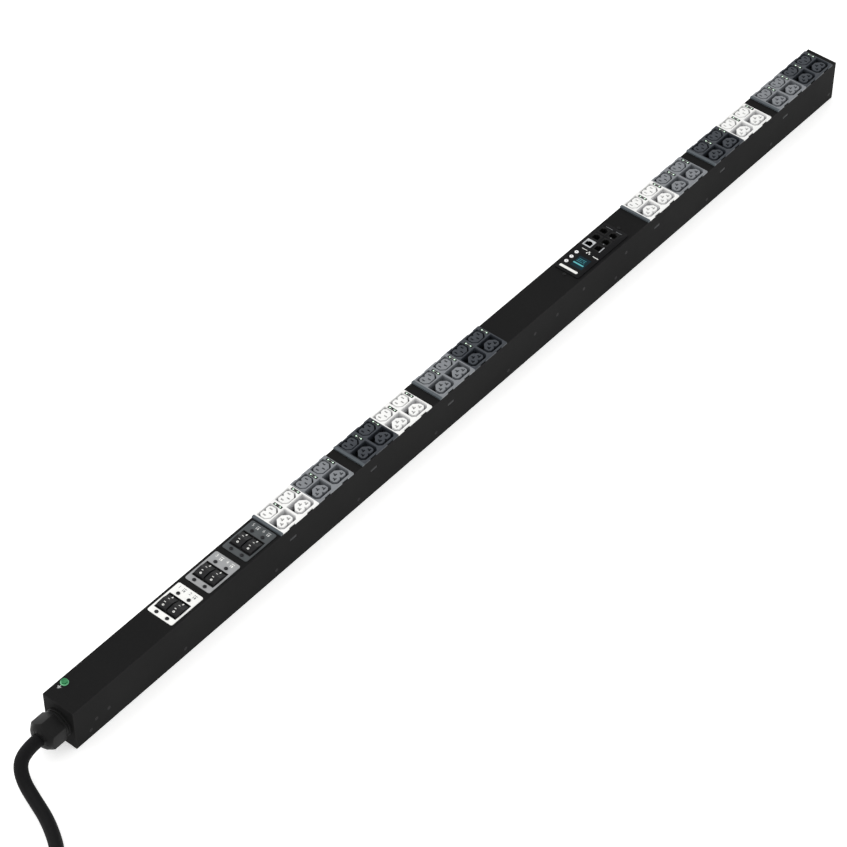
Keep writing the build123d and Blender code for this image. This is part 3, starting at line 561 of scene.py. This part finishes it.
# painted shade: the shield turns near black just below its rim, for the shade inside the jack's mouth
paintShadeBelow(finishes["port_shield"], (206, 208, 210), (26, 26, 28),
            shieldHeight - 2.0 * mm, shieldHeight - 0.8 * mm)
earthGreen = surface("earthGreen", (40, 128, 76), (120, 206, 152), roughness=0.35, grain=700, depth=0.01,
                     patch=120, metallic=0.15, edge=0.8, dust=0.0)
whitePrint = printInk("whitePrint", (236, 236, 232))
palePrint = printInk("palePrint", (196, 197, 196))
greyPrint = printInk("greyPrint", (120, 122, 124))
darkPrint = printInk("darkPrint", (66, 66, 70))
readoutGlow = glowing("readoutGlow", (96, 186, 190), 0.9, (20, 70, 76))
readoutDim = glowing("readoutDim", (40, 128, 138), 0.8, (16, 60, 66))
tieFabric = surface("tieFabric", (30, 30, 32), (60, 60, 62), roughness=0.9, grain=2400, depth=0.12,
                    patch=60, edge=0.0, dust=0.03, specular=0.1)

slotOf = {part["node"]: part["material_slot"] for part in frame["record"]["subparts"]}
for cadName, cadPiece in cadNodes.items():
    cadPiece.data.materials.clear()
    cadPiece.data.materials.append(finishes[slotOf[cadName]])
cadNodes["case_fasteners"].data.materials[0] = dullSteel
print("materials made:", len(bpy.data.materials))


def makeCadPiece(cadNode, name, width, material):
    # a CAD piece with softened edges, in its finish
    piece = fromCad(cadNode, name)
    soften(piece, width)
    return wear(piece, material, slotOf[cadNode], strip, cadNode)


# Cord, its ties and the plug

coilLow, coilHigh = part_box("cord_coil")
cordWide = (coilHigh.z - coilLow.z) / 2
cordPlan = {
    "diameter": cordWide,
    "exit": (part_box("gland_nut")[0].x, 0, 37 * mm),
    "route": [(-961, 0, 37), (-981, -4, 28), (-993, -22, 16.5), (-1001, -48, 10.3),
              (-1016, -92, 10.3), (-1045, -140, 10.3), (-1094, -180, 10.3), (-1160, -200, 10.3)],
    "coilMiddle": ((coilLow.x + coilHigh.x) / 2, (coilLow.y + coilHigh.y) / 2),
    "coilRadius": (coilHigh.x - coilLow.x) / 2 - cordWide / 2,
    "coilHeights": (coilLow.z + cordWide / 2, coilHigh.z - cordWide / 2),
    "pointsPerTurn": 24,
    "tailEnd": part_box("plug_body")[1].x,
    "length": 2.96,
}


def coilPoints():
    # outer and inner turn below, then inner and outer turn above, clockwise from the near side
    across = cordPlan["diameter"]
    low, high = cordPlan["coilHeights"]
    outer, inner = cordPlan["coilRadius"], cordPlan["coilRadius"] - across
    steps = cordPlan["pointsPerTurn"]
    turns = [(outer, low), (inner, low), (inner, high), (outer, high)]
    x, y = cordPlan["coilMiddle"]
    points = []
    for number, (radius, height) in enumerate(turns):
        nextRadius, nextHeight = turns[min(number + 1, len(turns) - 1)]
        for step in range(steps):
            # the change to the next turn takes the last quarter of this one
            share = max(0, (step / steps - 0.75) * 4)
            share = share * share * (3 - 2 * share)
            reach = radius + (nextRadius - radius) * share
            angle = -math.pi / 2 - 2 * math.pi * step / steps
            points.append((x + reach * math.cos(angle), y + reach * math.sin(angle),
                           height + (nextHeight - height) * share))
    return points


def makeCord():
    x, y = cordPlan["coilMiddle"]
    top = cordPlan["coilHeights"][1]
    side = y - cordPlan["coilRadius"]
    points = [cordPlan["exit"]] + [tuple(v * mm for v in point) for point in cordPlan["route"]]
    points += coilPoints()
    points += [(x, side, top), (x - 25 * mm, side, top), (x - 55 * mm, side, top),
               (cordPlan["tailEnd"], side, top)]
    clear()
    curve = bpy.data.curves.new("supplyCord", "CURVE")
    curve.dimensions = "3D"
    spline = curve.splines.new("NURBS")
    spline.points.add(len(points) - 1)
    for point, target in zip(points, spline.points):
        target.co = (*point, 1)
    spline.order_u = 3
    spline.use_endpoint_u = True
    spline.resolution_u = 8
    curve.bevel_depth = cordPlan["diameter"] / 2
    curve.bevel_resolution = 7
    curve.use_fill_caps = True
    piece = bpy.data.objects.new("supplyCord", curve)
    bpy.context.scene.collection.objects.link(piece)
    curve.materials.append(finishes["cord_jacket"])
    place(piece, "cord_jacket", strip, "cord_tube", "cord_coil")
    return piece


def makeTie(name, turn):
    # a hook-and-loop strap round the four turns, made standing on the +X side and turned round the coil
    x, y = cordPlan["coilMiddle"]
    across = cordPlan["diameter"]
    low, high = cordPlan["coilHeights"]
    reach = across * 1.01
    centre = Vector((x + cordPlan["coilRadius"] - across / 2, y, (low + high) / 2))
    half = Vector((reach, 9 * mm, reach))
    strap = block(name, centre - half, centre + half)
    chooseFaces(strap, lambda face: abs(face.normal.y) > 0.5)
    bpy.ops.mesh.delete(type="ONLY_FACE")
    roundEdges(strap, lambda a, b: abs(a.y - b.y) > half.y, across * 0.46, 6)
    applyModifier(strap, "SOLIDIFY", thickness=0.8 * mm, offset=-1)
    top = centre.z + reach
    flap = block(name + "Flap", (centre.x - 8 * mm, y - 9 * mm, top),
                 (centre.x + 13 * mm, y + 9 * mm, top + 0.9 * mm))
    strap = joined(name, [strap, flap])
    soften(strap, 0.25 * mm)
    rotateMesh(strap, turn, "Z", (x, y, 0))
    wear(strap, tieFabric, "black_rubber")
    return strap


plugPlan = {
    "rearRadius": 14.5 * mm,
    "bodyRadius": 27.5 * mm,
    "ribCount": 24,
}


def makePlug():
    low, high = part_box("plug_body")
    y, z = (low.y + high.y) / 2, (low.z + high.z) / 2
    length = high.x - low.x
    big, rear = plugPlan["bodyRadius"], plugPlan["rearRadius"]
    profile = [(0, rear - 2 * mm), (0.8 * mm, rear), (5 * mm, rear + 0.6 * mm), (6 * mm, rear - 0.8 * mm),
               (8 * mm, rear - 0.8 * mm), (9 * mm, rear + 2.4 * mm), (19 * mm, big - 4.2 * mm),
               (22 * mm, big - 2.6 * mm), (24 * mm, big - 2.2 * mm), (48 * mm, big - 2.2 * mm),
               (50 * mm, big - 0.6 * mm), (51 * mm, big), (length - 2.4 * mm, big),
               (length - 0.6 * mm, big - 0.9 * mm), (length, big - 2.4 * mm), (length, big - 5 * mm),
               (length - 2 * mm, big - 5.6 * mm), (length - 2 * mm, 4 * mm)]
    body = turned("plugShell", (high.x, y, z), (-1, 0, 0), profile, sides=2 * plugPlan["ribCount"])
    grip = (high.x - 24 * mm, high.x - 48 * mm)
    ribNumbers = {face.index for face in body.data.polygons
                  if grip[1] < face.center.x < grip[0] and abs(face.normal.x) < 0.2
                  and round(math.atan2(face.center.z - z, face.center.y - y) / math.pi
                            * plugPlan["ribCount"] - 0.5) % 2 == 0}
    chooseFaces(body, lambda face: face.index in ribNumbers)
    bpy.ops.mesh.inset(thickness=0.5 * mm, use_individual=True)
    bpy.ops.transform.shrink_fatten(value=1.4 * mm)
    leaveEdit()
    soften(body, 0.3 * mm, segments=2, angle=28)
    wear(body, finishes["plug_rubber"], "plug_rubber", strip, "plug_body")
    # the cord clamp's two screws stand in the rear collar
    screws = []
    for side in (-1, 1):
        head = turned("clampScrew", (high.x - 7 * mm, y + side * (rear - 2 * mm), z),
                      (0, side, 0), [(0, 2.2 * mm), (3.0 * mm, 2.2 * mm), (3.4 * mm, 1.8 * mm)], sides=20)
        slot = block("slot", (high.x - 7.35 * mm, y + side * (rear + 0.8 * mm) - 0.8 * mm, z - 2.6 * mm),
                     (high.x - 6.65 * mm, y + side * (rear + 0.8 * mm) + 0.8 * mm, z + 2.6 * mm))
        screws.append(cutWith(head, slot))
    clamp = joined("plugClampScrews", screws)
    smooth(clamp)
    wear(clamp, finishes["black_screw"], "black_screw")
    return [body, clamp]


supplyCord = makeCord()
coilTies = [makeTie("coilTieNear", math.radians(35)), makeTie("coilTieFar", math.radians(205))]
plugPieces = makePlug()
print("cord, ties and plug made")


# Cord gland

glandPlan = {"boreRadius": cordWide / 2 + 0.35 * mm, "fingers": 12, "dome": 6 * mm}


def makeGland():
    low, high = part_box("gland_body")
    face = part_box("cord_end_plate")[0].x
    z = (low.z + high.z) / 2
    wide = (high.z - low.z) / 2
    depth = face - low.x
    profile = [(0, wide - 0.6 * mm), (0.6 * mm, wide), (2.9 * mm, wide), (3.5 * mm, wide - 0.6 * mm),
               (3.5 * mm, wide - 2.5 * mm), (4.2 * mm, wide - 2.5 * mm), (4.2 * mm, wide - 1.3 * mm),
               (4.8 * mm, wide - 0.7 * mm), (7.9 * mm, wide - 0.7 * mm), (8.5 * mm, wide - 1.3 * mm),
               (8.5 * mm, wide - 5.5 * mm)]
    # thread under the nut
    threadStart, threadPitch = 9 * mm, 1.5 * mm
    while threadStart + threadPitch < depth:
        profile += [(threadStart, wide - 6.3 * mm), (threadStart + threadPitch / 2, wide - 5.5 * mm)]
        threadStart += threadPitch
    profile.append((depth, wide - 6.5 * mm))
    body = turned("glandFlange", (face, 0, z), (-1, 0, 0), profile, sides=64)
    bore = turned("bore", (face + 1 * mm, 0, z), (-1, 0, 0),
                  [(0, glandPlan["boreRadius"]), (depth + 3 * mm, glandPlan["boreRadius"])], sides=64)
    cutWith(body, bore)
    inner = turned("glandShank", (face, 0, z), (1, 0, 0),
                   [(0, 16 * mm), (high.x - face - 0.8 * mm, 16 * mm), (high.x - face, 15.2 * mm)], sides=64)
    bore = turned("bore", (face - 1 * mm, 0, z), (1, 0, 0),
                  [(0, glandPlan["boreRadius"]), (20 * mm, glandPlan["boreRadius"])], sides=64)
    cutWith(inner, bore)
    gland = joined("glandBody", [body, inner])
    smooth(gland)
    wear(gland, finishes["black_nylon"], "black_nylon", strip, "gland_body")


def makeGlandNut():
    low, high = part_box("gland_nut")
    z = (low.z + high.z) / 2
    # across its corners the nut is as wide as its box one way, and across its flats the other way
    flats = min(high.y - low.y, high.z - low.z)
    length = high.x - low.x
    dome = glandPlan["dome"]
    clear()
    bpy.ops.mesh.primitive_cylinder_add(vertices=6, radius=flats / math.sqrt(3), depth=length,
                                        location=((low.x + high.x) / 2, 0, z), rotation=(0, math.pi / 2, 0))
    hexagon = settle(bpy.context.object, "hexagon")
    spanZ = max(v.co.z for v in hexagon.data.vertices) - min(v.co.z for v in hexagon.data.vertices)
    if abs(spanZ - (high.z - low.z)) > 1 * mm:
        rotateMesh(hexagon, math.pi / 2, "X", ((low.x + high.x) / 2, 0, z))
    rim = flats / 2
    front = length - dome
    profile = [(0, rim + 1.6 * mm), (1.2 * mm, rim + 3.4 * mm), (front - 3.5 * mm, rim + 3.4 * mm),
               (front, rim - 0.4 * mm), (front + 0.8 * mm, rim - 0.9 * mm),
               (front + 2.4 * mm, rim - 2 * mm), (length - 1.8 * mm, rim - 4.4 * mm),
               (length - 0.6 * mm, rim - 6.4 * mm), (length, rim - 8.4 * mm)]
    cap = turned("cap", (high.x, 0, z), (-1, 0, 0), profile, sides=96)
    nut = cutWith(hexagon, cap, "INTERSECT")
    bore = turned("bore", (high.x + 1 * mm, 0, z), (-1, 0, 0),
                  [(0, 17.2 * mm), (front - 1 * mm, 17.2 * mm), (front, glandPlan["boreRadius"]),
                   (length + 3 * mm, glandPlan["boreRadius"])], sides=64)
    cutWith(nut, bore)
    # shallow slots between the clamping fingers in the dome
    for number in range(glandPlan["fingers"]):
        slot = block("slot", (low.x - 1 * mm, -0.35 * mm, z + glandPlan["boreRadius"] + 0.7 * mm),
                     (low.x + 3.2 * mm, 0.35 * mm, z + rim - 4 * mm))
        rotateMesh(slot, 2 * math.pi * number / glandPlan["fingers"], "X", (0, 0, z))
        cutWith(nut, slot)
    edit(nut)
    bpy.ops.mesh.remove_doubles(threshold=0.000002)
    leaveEdit()
    soften(nut, 0.35 * mm, segments=2, angle=25)
    wear(joined("glandCapNut", [nut]), finishes["black_nylon"], "black_nylon", strip, "gland_nut")


makeGland()
makeGlandNut()
print("gland made")


# Earth screw and its mark

def makeEarthScrew():
    low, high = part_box("ground_screw")
    x, y = (low.x + high.x) / 2, (low.y + high.y) / 2
    wide = (high.x - low.x) / 2
    washer = turned("earthScrew", (x, y, faceTop), (0, 0, 1),
                    [(0, wide), (0.8 * mm, wide), (1.2 * mm, wide - 0.5 * mm), (1.4 * mm, wide - 1.7 * mm),
                     (1.4 * mm, 1 * mm)], sides=48)
    clear()
    headHeight = high.z - faceTop - 1.3 * mm
    bpy.ops.mesh.primitive_cylinder_add(vertices=6, radius=5.1 * mm, depth=headHeight,
                                        location=(x, y, high.z - headHeight / 2), rotation=(0, 0, 0.4))
    head = settle(bpy.context.object, "head")
    chooseFaces(head, lambda face: face.normal.z > 0.9)
    bpy.ops.mesh.inset(thickness=1.1 * mm)
    bpy.ops.mesh.extrude_region_move(TRANSFORM_OT_translate={"value": (0, 0, -0.9 * mm)})
    bpy.ops.transform.resize(value=(0.85, 0.85, 1), center_override=(x, y, high.z))
    leaveEdit()
    soften(head, 0.35 * mm, segments=3)
    shank = turned("shank", (x, y, faceTop), (0, 0, -1),
                   [(0, 2.4 * mm), (faceTop - low.z - 0.6 * mm, 2.4 * mm), (faceTop - low.z, 1.8 * mm)],
                   sides=24)
    screw = joined("earthScrew", [washer, shank])
    smooth(screw)
    wear(screw, finishes["green_screw"], "green_screw", strip, "ground_screw")
    wear(joined("earthScrewHead", [head]), earthGreen, "green_screw")
    # the earth sign: a stem and three shortening bars, towards the cord end
    markX, markY = x - 9.4 * mm, y + 0.3 * mm
    marks = [flatMark("stem", (markX + 1.8 * mm, markY, faceTop), (2.6 * mm, 0.9 * mm))]
    for number, width in enumerate((6.0, 4.0, 2.0)):
        marks.append(flatMark("bar", (markX - number * 1.5 * mm, markY, faceTop), (0.9 * mm, width * mm)))
    wear(joined("earthMark", marks), palePrint, "white_moulding")


makeEarthScrew()
print("earth screw made")


# Circuit breakers

breakerPlan = {
    "rockerRadius": 14.6 * mm,
    "rockerWidth": 17.6 * mm,
    "ridge": 11 * mm,
    "fall": 3 * mm,
    "under": 4 * mm,
    "tilt": math.radians(7),
    "ringAt": 9.4 * mm,
    "barAt": 9.8 * mm,
    "tickAt": 4 * mm,
    "sharp": 0.01 * mm,
    "numberSize": 7.6 * mm,
}


def breakerPivot(number):
    joint = [j for j in frame["joints"] if j["name"] == f"breaker_{number}"][0]
    return Vector(joint["pos_m"])


def makeRocker(number):
    pivot = breakerPivot(number)
    radius, width = breakerPlan["rockerRadius"], breakerPlan["rockerWidth"]
    ridge, fall = breakerPlan["ridge"], breakerPlan["fall"]
    clear()
    bpy.ops.mesh.primitive_cylinder_add(vertices=96, radius=radius, depth=width, location=pivot,
                                        rotation=(math.pi / 2, 0, 0))
    rocker = settle(bpy.context.object, f"rocker{number}")
    for side in (-1, 1):
        edit(rocker)
        slant = Vector((side * fall, 0, radius)).normalized()
        bpy.ops.mesh.bisect(plane_co=pivot + Vector((0, 0, ridge)), plane_no=slant,
                            use_fill=True, clear_outer=True, threshold=breakerPlan["sharp"])
    edit(rocker)
    bpy.ops.mesh.bisect(plane_co=pivot - Vector((0, 0, breakerPlan["under"])), plane_no=(0, 0, -1),
                        use_fill=True, clear_outer=True, threshold=breakerPlan["sharp"])
    leaveEdit()
    # each facet has a shallow dished pad for the finger
    chooseFaces(rocker, lambda face: face.normal.z > 0.9 and face.center.z > pivot.z)
    bpy.ops.mesh.inset(thickness=1.5 * mm, use_individual=True)
    bpy.ops.transform.shrink_fatten(value=-0.25 * mm)
    leaveEdit()
    soften(rocker, 0.4 * mm, segments=3, angle=8)
    slope = math.atan2(fall, radius)
    marks = []
    # near facet: a ring and a short bar; far facet: two bars
    for side, spot in ((-1, breakerPlan["ringAt"]), (1, breakerPlan["barAt"])):
        level = pivot.z + ridge - spot * math.tan(slope) - 0.18 * mm
        if side < 0:
            clear()
            bpy.ops.mesh.primitive_torus_add(major_radius=1.2 * mm, minor_radius=0.75 * mm,
                                             major_segments=28, minor_segments=8,
                                             location=(pivot.x + side * spot, pivot.y, level - 0.48 * mm))
            mark = settle(bpy.context.object, "ring")
        else:
            mark = flatMark("bar", (pivot.x + side * spot, pivot.y, level), (3.6 * mm, 1.7 * mm), 0.12 * mm)
        rotateMesh(mark, -side * slope, "Y", (pivot.x + side * spot, pivot.y, level))
        tickX = pivot.x + side * breakerPlan["tickAt"]
        level = pivot.z + ridge - breakerPlan["tickAt"] * math.tan(slope) - 0.2 * mm
        tick = flatMark("tick", (tickX, pivot.y + 1.5 * mm, level), (1.0 * mm, 3.2 * mm), 0.12 * mm)
        rotateMesh(tick, -side * slope, "Y", (tickX, pivot.y, level))
        marks += [mark, tick]
    signs = joined(f"rockerSigns{number}", marks)
    trunnion = turned("trunnion", pivot - Vector((0, 9.7 * mm, 0)), (0, 1, 0),
                      [(0, 1.7 * mm), (0.3 * mm, 2 * mm), (19.1 * mm, 2 * mm), (19.4 * mm, 1.7 * mm)],
                      sides=24)
    rocker = joined(f"rocker{number}", [rocker, trunnion])
    for piece in (rocker, signs):
        rotateMesh(piece, -breakerPlan["tilt"], "Y", pivot)
    wear(rocker, finishes["rocker_black"], "rocker_black", f"rocker_{number}", f"breaker_rocker_{number}")
    wear(signs, whitePrint, "white_moulding", f"rocker_{number}")


def makeBezel(number, ink):
    cadNode = f"breaker_bezel_{number}"
    low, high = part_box(cadNode)
    makeCadPiece(cadNode, f"bezel{number}", 0.25 * mm, finishes[slotOf[cadNode]])
    # numbers of the two breakers and their on and off signs, at the far end
    marks = []
    for column in (0, 1):
        y = (0.5 - column) * 20 * mm
        spot = (high.x - 6.2 * mm, y + 6.2 * mm, high.z + 0.02 * mm)
        marks.append(numeral(str(2 * number + column - 1), spot, breakerPlan["numberSize"]))
        marks.append(flatMark("bar", (high.x - 8.2 * mm, y - 1.3 * mm, high.z), (3.8 * mm, 1.1 * mm)))
        marks.append(flatMark("bar", (high.x - 8.2 * mm, y - 4.3 * mm, high.z), (3.8 * mm, 2.2 * mm),
                              corner=0.6 * mm))
        marks.append(flatMark("line", (high.x - 4.2 * mm, y - 3 * mm, high.z), (0.9 * mm, 5.8 * mm)))
    wear(joined(f"bezelPrint{number}", marks), ink, "black_screw")


def makeBreakerScrews():
    # one pan head with a cross recess, copied to each of the twelve places
    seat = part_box("breaker_bezel_1")[1].z
    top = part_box("breaker_screws")[1].z
    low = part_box("breaker_screws")[0].z
    head = turned("panHead", (0, 0, seat), (0, 0, 1),
                  [(0, 2.9 * mm), (0.2 * mm, 3.0 * mm), (0.9 * mm, 2.9 * mm), (1.25 * mm, 2.3 * mm),
                   (top - seat, 1.3 * mm)], sides=36)
    for size in ((1.9, 0.33), (0.33, 1.9)):
        cutWith(head, block("cross", (-size[0] * mm, -size[1] * mm, top - 0.75 * mm),
                            (size[0] * mm, size[1] * mm, top + 1 * mm)))
    shank = turned("shank", (0, 0, seat), (0, 0, -1),
                   [(0, 1.5 * mm), (seat - low - 1 * mm, 1.5 * mm), (seat - low, 0.8 * mm)], sides=16)
    pattern = joined("panHead", [head, shank])
    smooth(pattern)
    screws = []
    for number in (1, 2, 3):
        pivot = breakerPivot(2 * number)
        for end in (-1, 1):
            for side in (-1, 1):
                screws.append(copied(pattern, (pivot.x + end * 21.75 * mm, side * 10 * mm, 0)))
    bpy.data.objects.remove(pattern, do_unlink=True)
    wear(joined("bezelScrews", screws), finishes["black_screw"], "black_screw", strip, "breaker_screws")


for number in range(1, 7):
    makeRocker(number)
makeBezel(1, greyPrint)
makeBezel(2, whitePrint)
makeBezel(3, palePrint)
makeBreakerScrews()
print("breakers made")


# Outlet modules

outletPlan = {
    "rowPitch": 38 * mm,
    "numberAt": 34.4 * mm,
    "inlayMiddle": 13.1 * mm,
    "numberGap": 1.75 * mm,
    "numberSize": 2.3 * mm,
}


def makeModules():
    for letter in moduleLetters:
        for half in (1, 2):
            cadNode = f"outlet_block_{letter}{half}"
            makeCadPiece(cadNode, f"outletFrame{letter}{half}", 0.25 * mm, outletFinishes[slotOf[cadNode]])
    for colour in ("white", "grey", "dark"):
        cadNode = f"outlet_cores_{colour}"
        makeCadPiece(cadNode, f"outletIslands{colour.capitalize()}", 0.22 * mm,
                     outletFinishes[slotOf[cadNode]])
    makeCadPiece("module_carriers", "moduleCarriers", 0.25 * mm, finishes["carrier_moulding"])


def makeOutletNumbers():
    # two numbers on each black inlay, between its two lights
    numbers = []
    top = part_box("indicator_strips")[1].z + 0.02 * mm
    for letter in moduleLetters:
        for half in (1, 2):
            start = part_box(f"outlet_block_{letter}{half}")[0].x + outletPlan["numberAt"]
            for row in (0, 1):
                for side in (1, -1):
                    spot = (start + row * outletPlan["rowPitch"],
                            outletPlan["inlayMiddle"] + side * outletPlan["numberGap"], top)
                    numbers.append(numeral(str(len(numbers) + 1), spot, outletPlan["numberSize"]))
    wear(joined("outletNumbers", numbers), whitePrint, "white_moulding")


makeModules()
makeOutletNumbers()
print("outlet modules made")


# Controller

controllerPlan = {
    "barSize": (5.0, 34.0),
    "barAt": (-56.2, 1.8),
    "readout": [((-37.9, -3.2), (2.6, 19.0), True), ((-32.6, -1.0), (1.2, 10.5), False),
                ((-32.6, -9.0), (1.2, 2.6), False), ((-29.4, 0.5), (1.2, 7.5), False),
                ((-29.4, -7.4), (1.2, 5.0), False), ((-26.2, -3.0), (1.2, 13.5), False)],
    "portColumns": (10.5, 29.3, 48.0),
    "portRows": (13.0, -5.5),
}


def makeController():
    low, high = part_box("controller_fascia")
    x, top = (low.x + high.x) / 2, high.z
    makeCadPiece("controller_fascia", "controllerFace", 0.2 * mm, finishes["gloss_black"])

    barX, barY = controllerPlan["barAt"]
    marks = [flatMark("bar", (x + barX * mm, barY * mm, top), [v * mm for v in controllerPlan["barSize"]],
                      corner=1.6 * mm)]
    # port signs: three linked squares, a short bar and a long line
    for dx, dy in ((-9.6, -2.4), (-9.6, 2.2), (-5.6, -0.1)):
        marks.append(flatMark("square", (x + dx * mm, dy * mm, top), (2.2 * mm, 2.2 * mm), corner=0.4 * mm))
    marks.append(flatMark("link", (x - 7.7 * mm, -0.1 * mm, top), (0.6 * mm, 5.2 * mm)))
    marks.append(flatMark("bar", (x - 10.6 * mm, -16.6 * mm, top), (1.6 * mm, 8.4 * mm), corner=0.5 * mm))
    marks.append(flatMark("bar", (x - 10.2 * mm, -11.3 * mm, top), (1.4 * mm, 2.6 * mm), corner=0.4 * mm))
    marks.append(flatMark("line", (x - 4.9 * mm, 10.2 * mm, top), (1.0 * mm, 10.0 * mm)))
    wear(joined("controllerPrint", marks), whitePrint, "white_button")
    faint = [flatMark("line", (x + 58.2 * mm, y * mm, top), (0.8 * mm, width * mm))
             for y, width in ((9.8, 13.0), (-8.6, 11.0))]
    wear(joined("controllerLines", faint), greyPrint, "white_button")

    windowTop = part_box("display")[1].z
    for bright, material, name in ((True, readoutGlow, "displayBar"), (False, readoutDim, "displayLines")):
        bars = [flatMark("bar", (x + bx * mm, by * mm, windowTop), (wide * mm, tall * mm), 0.05 * mm)
                for (bx, by), (wide, tall), lit in controllerPlan["readout"] if lit == bright]
        wear(joined(name, bars), material, "display_screen")
    return x, top


def makeButtonSigns():
    # back, select and forward signs
    for number in (1, 2, 3):
        low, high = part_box(f"controller_button_{number}")
        x, y = (low.x + high.x) / 2, (low.y + high.y) / 2
        if number == 2:
            sign = flatMark("sign", (x, y, high.z), (1.6 * mm, 1.6 * mm), 0.04 * mm, corner=0.5 * mm)
        else:
            clear()
            turn = math.pi / 2 * (1 if number == 1 else -1)
            bpy.ops.mesh.primitive_cylinder_add(vertices=3, radius=1.25 * mm, depth=0.08 * mm,
                                                location=(x, y, high.z), rotation=(0, 0, turn + math.pi / 2))
            sign = settle(bpy.context.object, "sign")
        sign.name = f"buttonSign{number}"
        wear(sign, darkPrint, "black_screw", f"button_{number}")


def makePortDetails(x, top):
    # eight gilt wires slope down the back of each jack, and a metal lip stands round the first
    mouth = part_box("plain_ports")[1].z
    wires = []
    for px in controllerPlan["portColumns"]:
        for py in controllerPlan["portRows"]:
            for number in range(8):
                wy = py * mm + (number - 3.5) * 1.02 * mm
                wires.append(block("wire", (x + (px - 5.2) * mm, wy - 0.2 * mm, mouth - 9 * mm),
                                   (x + (px - 3.4) * mm, wy + 0.2 * mm, mouth - 3 * mm)))
    springs = joined("jackWires", wires)
    chooseFaces(springs, lambda face: face.normal.x > 0.9)
    bpy.ops.transform.resize(value=(1, 1, 0.6), center_override=(x, 0, mouth - 9 * mm))
    leaveEdit()
    wear(springs, finishes["brass_contact"], "brass_contact")

    px, py = controllerPlan["portColumns"][0], controllerPlan["portRows"][0]
    lip = block("jackShield", (x + (px - 8.2) * mm, (py - 7.9) * mm, top - 0.2 * mm),
                (x + (px + 8.2) * mm, (py + 7.9) * mm, top + 0.35 * mm))
    cutWith(lip, block("hole", (x + (px - 5.9) * mm, (py - 6.1) * mm, top - 1 * mm),
                       (x + (px + 4.6) * mm, (py + 6.1) * mm, top + 1 * mm)))
    soften(lip, 0.12 * mm)
    wear(lip, finishes["port_shield"], "port_shield")
    py = controllerPlan["portRows"][1]
    edgeLip = block("jackEdge", (x + (px - 7.4) * mm, (py - 7.0) * mm, top - 0.1 * mm),
                    (x + (px + 6.4) * mm, (py - 5.4) * mm, top + 0.25 * mm))
    soften(edgeLip, 0.15 * mm)
    wear(edgeLip, finishes["port_shield"], "port_shield")
    dots = [flatMark("dot", (x + (px - 6.6) * mm, -5.8 * mm, top), (1.9 * mm, 1.9 * mm), corner=0.7 * mm)
            for px in controllerPlan["portColumns"][1:]]
    wear(joined("portLights", dots), greyPrint, "light_pipe")


controllerX, fasciaTop = makeController()
makeButtonSigns()
makePortDetails(controllerX, fasciaTop)
print("controller made")


# Floor, light and camera

stagePlan = {
    "floorHalf": 9.0,
    "keyPower": 46.0,
    "fillPower": 2.0,
    "skyStrength": 0.9,
    "floorGlow": 0.45,
}


def makeStage():
    clear()
    bpy.ops.mesh.primitive_plane_add(size=2 * stagePlan["floorHalf"],
                                     location=(0, 0, caseFloor - 0.3 * mm))
    floor = settle(bpy.context.object, "studioFloor")
    pale = surface("paleFloor", (246, 246, 245), roughness=0.9, grain=60, depth=0.02, patch=1.2,
                   contrast=0.06, edge=0.0, dust=0.0, specular=0.1)
    # lit from below too, as a product table is, so that hardly a shadow shows
    setSockets(pale.node_tree.nodes["Principled BSDF"],
               {"Emission Color": (1, 1, 1, 1), "Emission Strength": stagePlan["floorGlow"]})
    floor.data.materials.append(pale)
    world = bpy.data.worlds.new("studio")
    world.use_nodes = True
    setSockets(world.node_tree.nodes["Background"],
               {"Color": (1, 1, 1, 1), "Strength": stagePlan["skyStrength"]})
    bpy.context.scene.world = world
    lights = [("keyLight", (-1.4, 2.2, 3.0), 3.0, stagePlan["keyPower"]),
              ("fillLight", (-2.6, -3.0, 2.4), 3.2, stagePlan["fillPower"])]
    for name, spot, size, power in lights:
        clear()
        bpy.ops.object.light_add(type="AREA", location=spot)
        light = bpy.context.object
        light.name = name
        light.data.size = size
        light.data.energy = power
        light.rotation_euler = (-Vector(spot)).to_track_quat("-Z", "Y").to_euler()
    bpy.context.scene.view_settings.view_transform = "Standard"


cameraPlan = {
    "place": (-2.5036, -1.9683, 3.1615),
    "azimuth": -50.265,
    "elevation": 45.655,
    "roll": 0.139,
    "lens": 125.55,
}


def makeCamera():
    azimuth, elevation = math.radians(cameraPlan["azimuth"]), math.radians(cameraPlan["elevation"])
    back = Vector((math.sin(azimuth) * math.cos(elevation), -math.cos(azimuth) * math.cos(elevation),
                   math.sin(elevation)))
    clear()
    bpy.ops.object.camera_add(location=cameraPlan["place"])
    camera = bpy.context.object
    camera.name = "viewCamera"
    camera.data.lens = cameraPlan["lens"]
    camera.data.sensor_width = 36
    camera.rotation_euler = (-back).to_track_quat("-Z", "Y").to_euler()
    camera.rotation_euler.rotate_axis("Z", math.radians(cameraPlan["roll"]))
    camera.data.clip_start = 0.05
    camera.data.clip_end = 60
    bpy.context.scene.camera = camera


makeStage()
makeCamera()
bpy.context.view_layer.update()
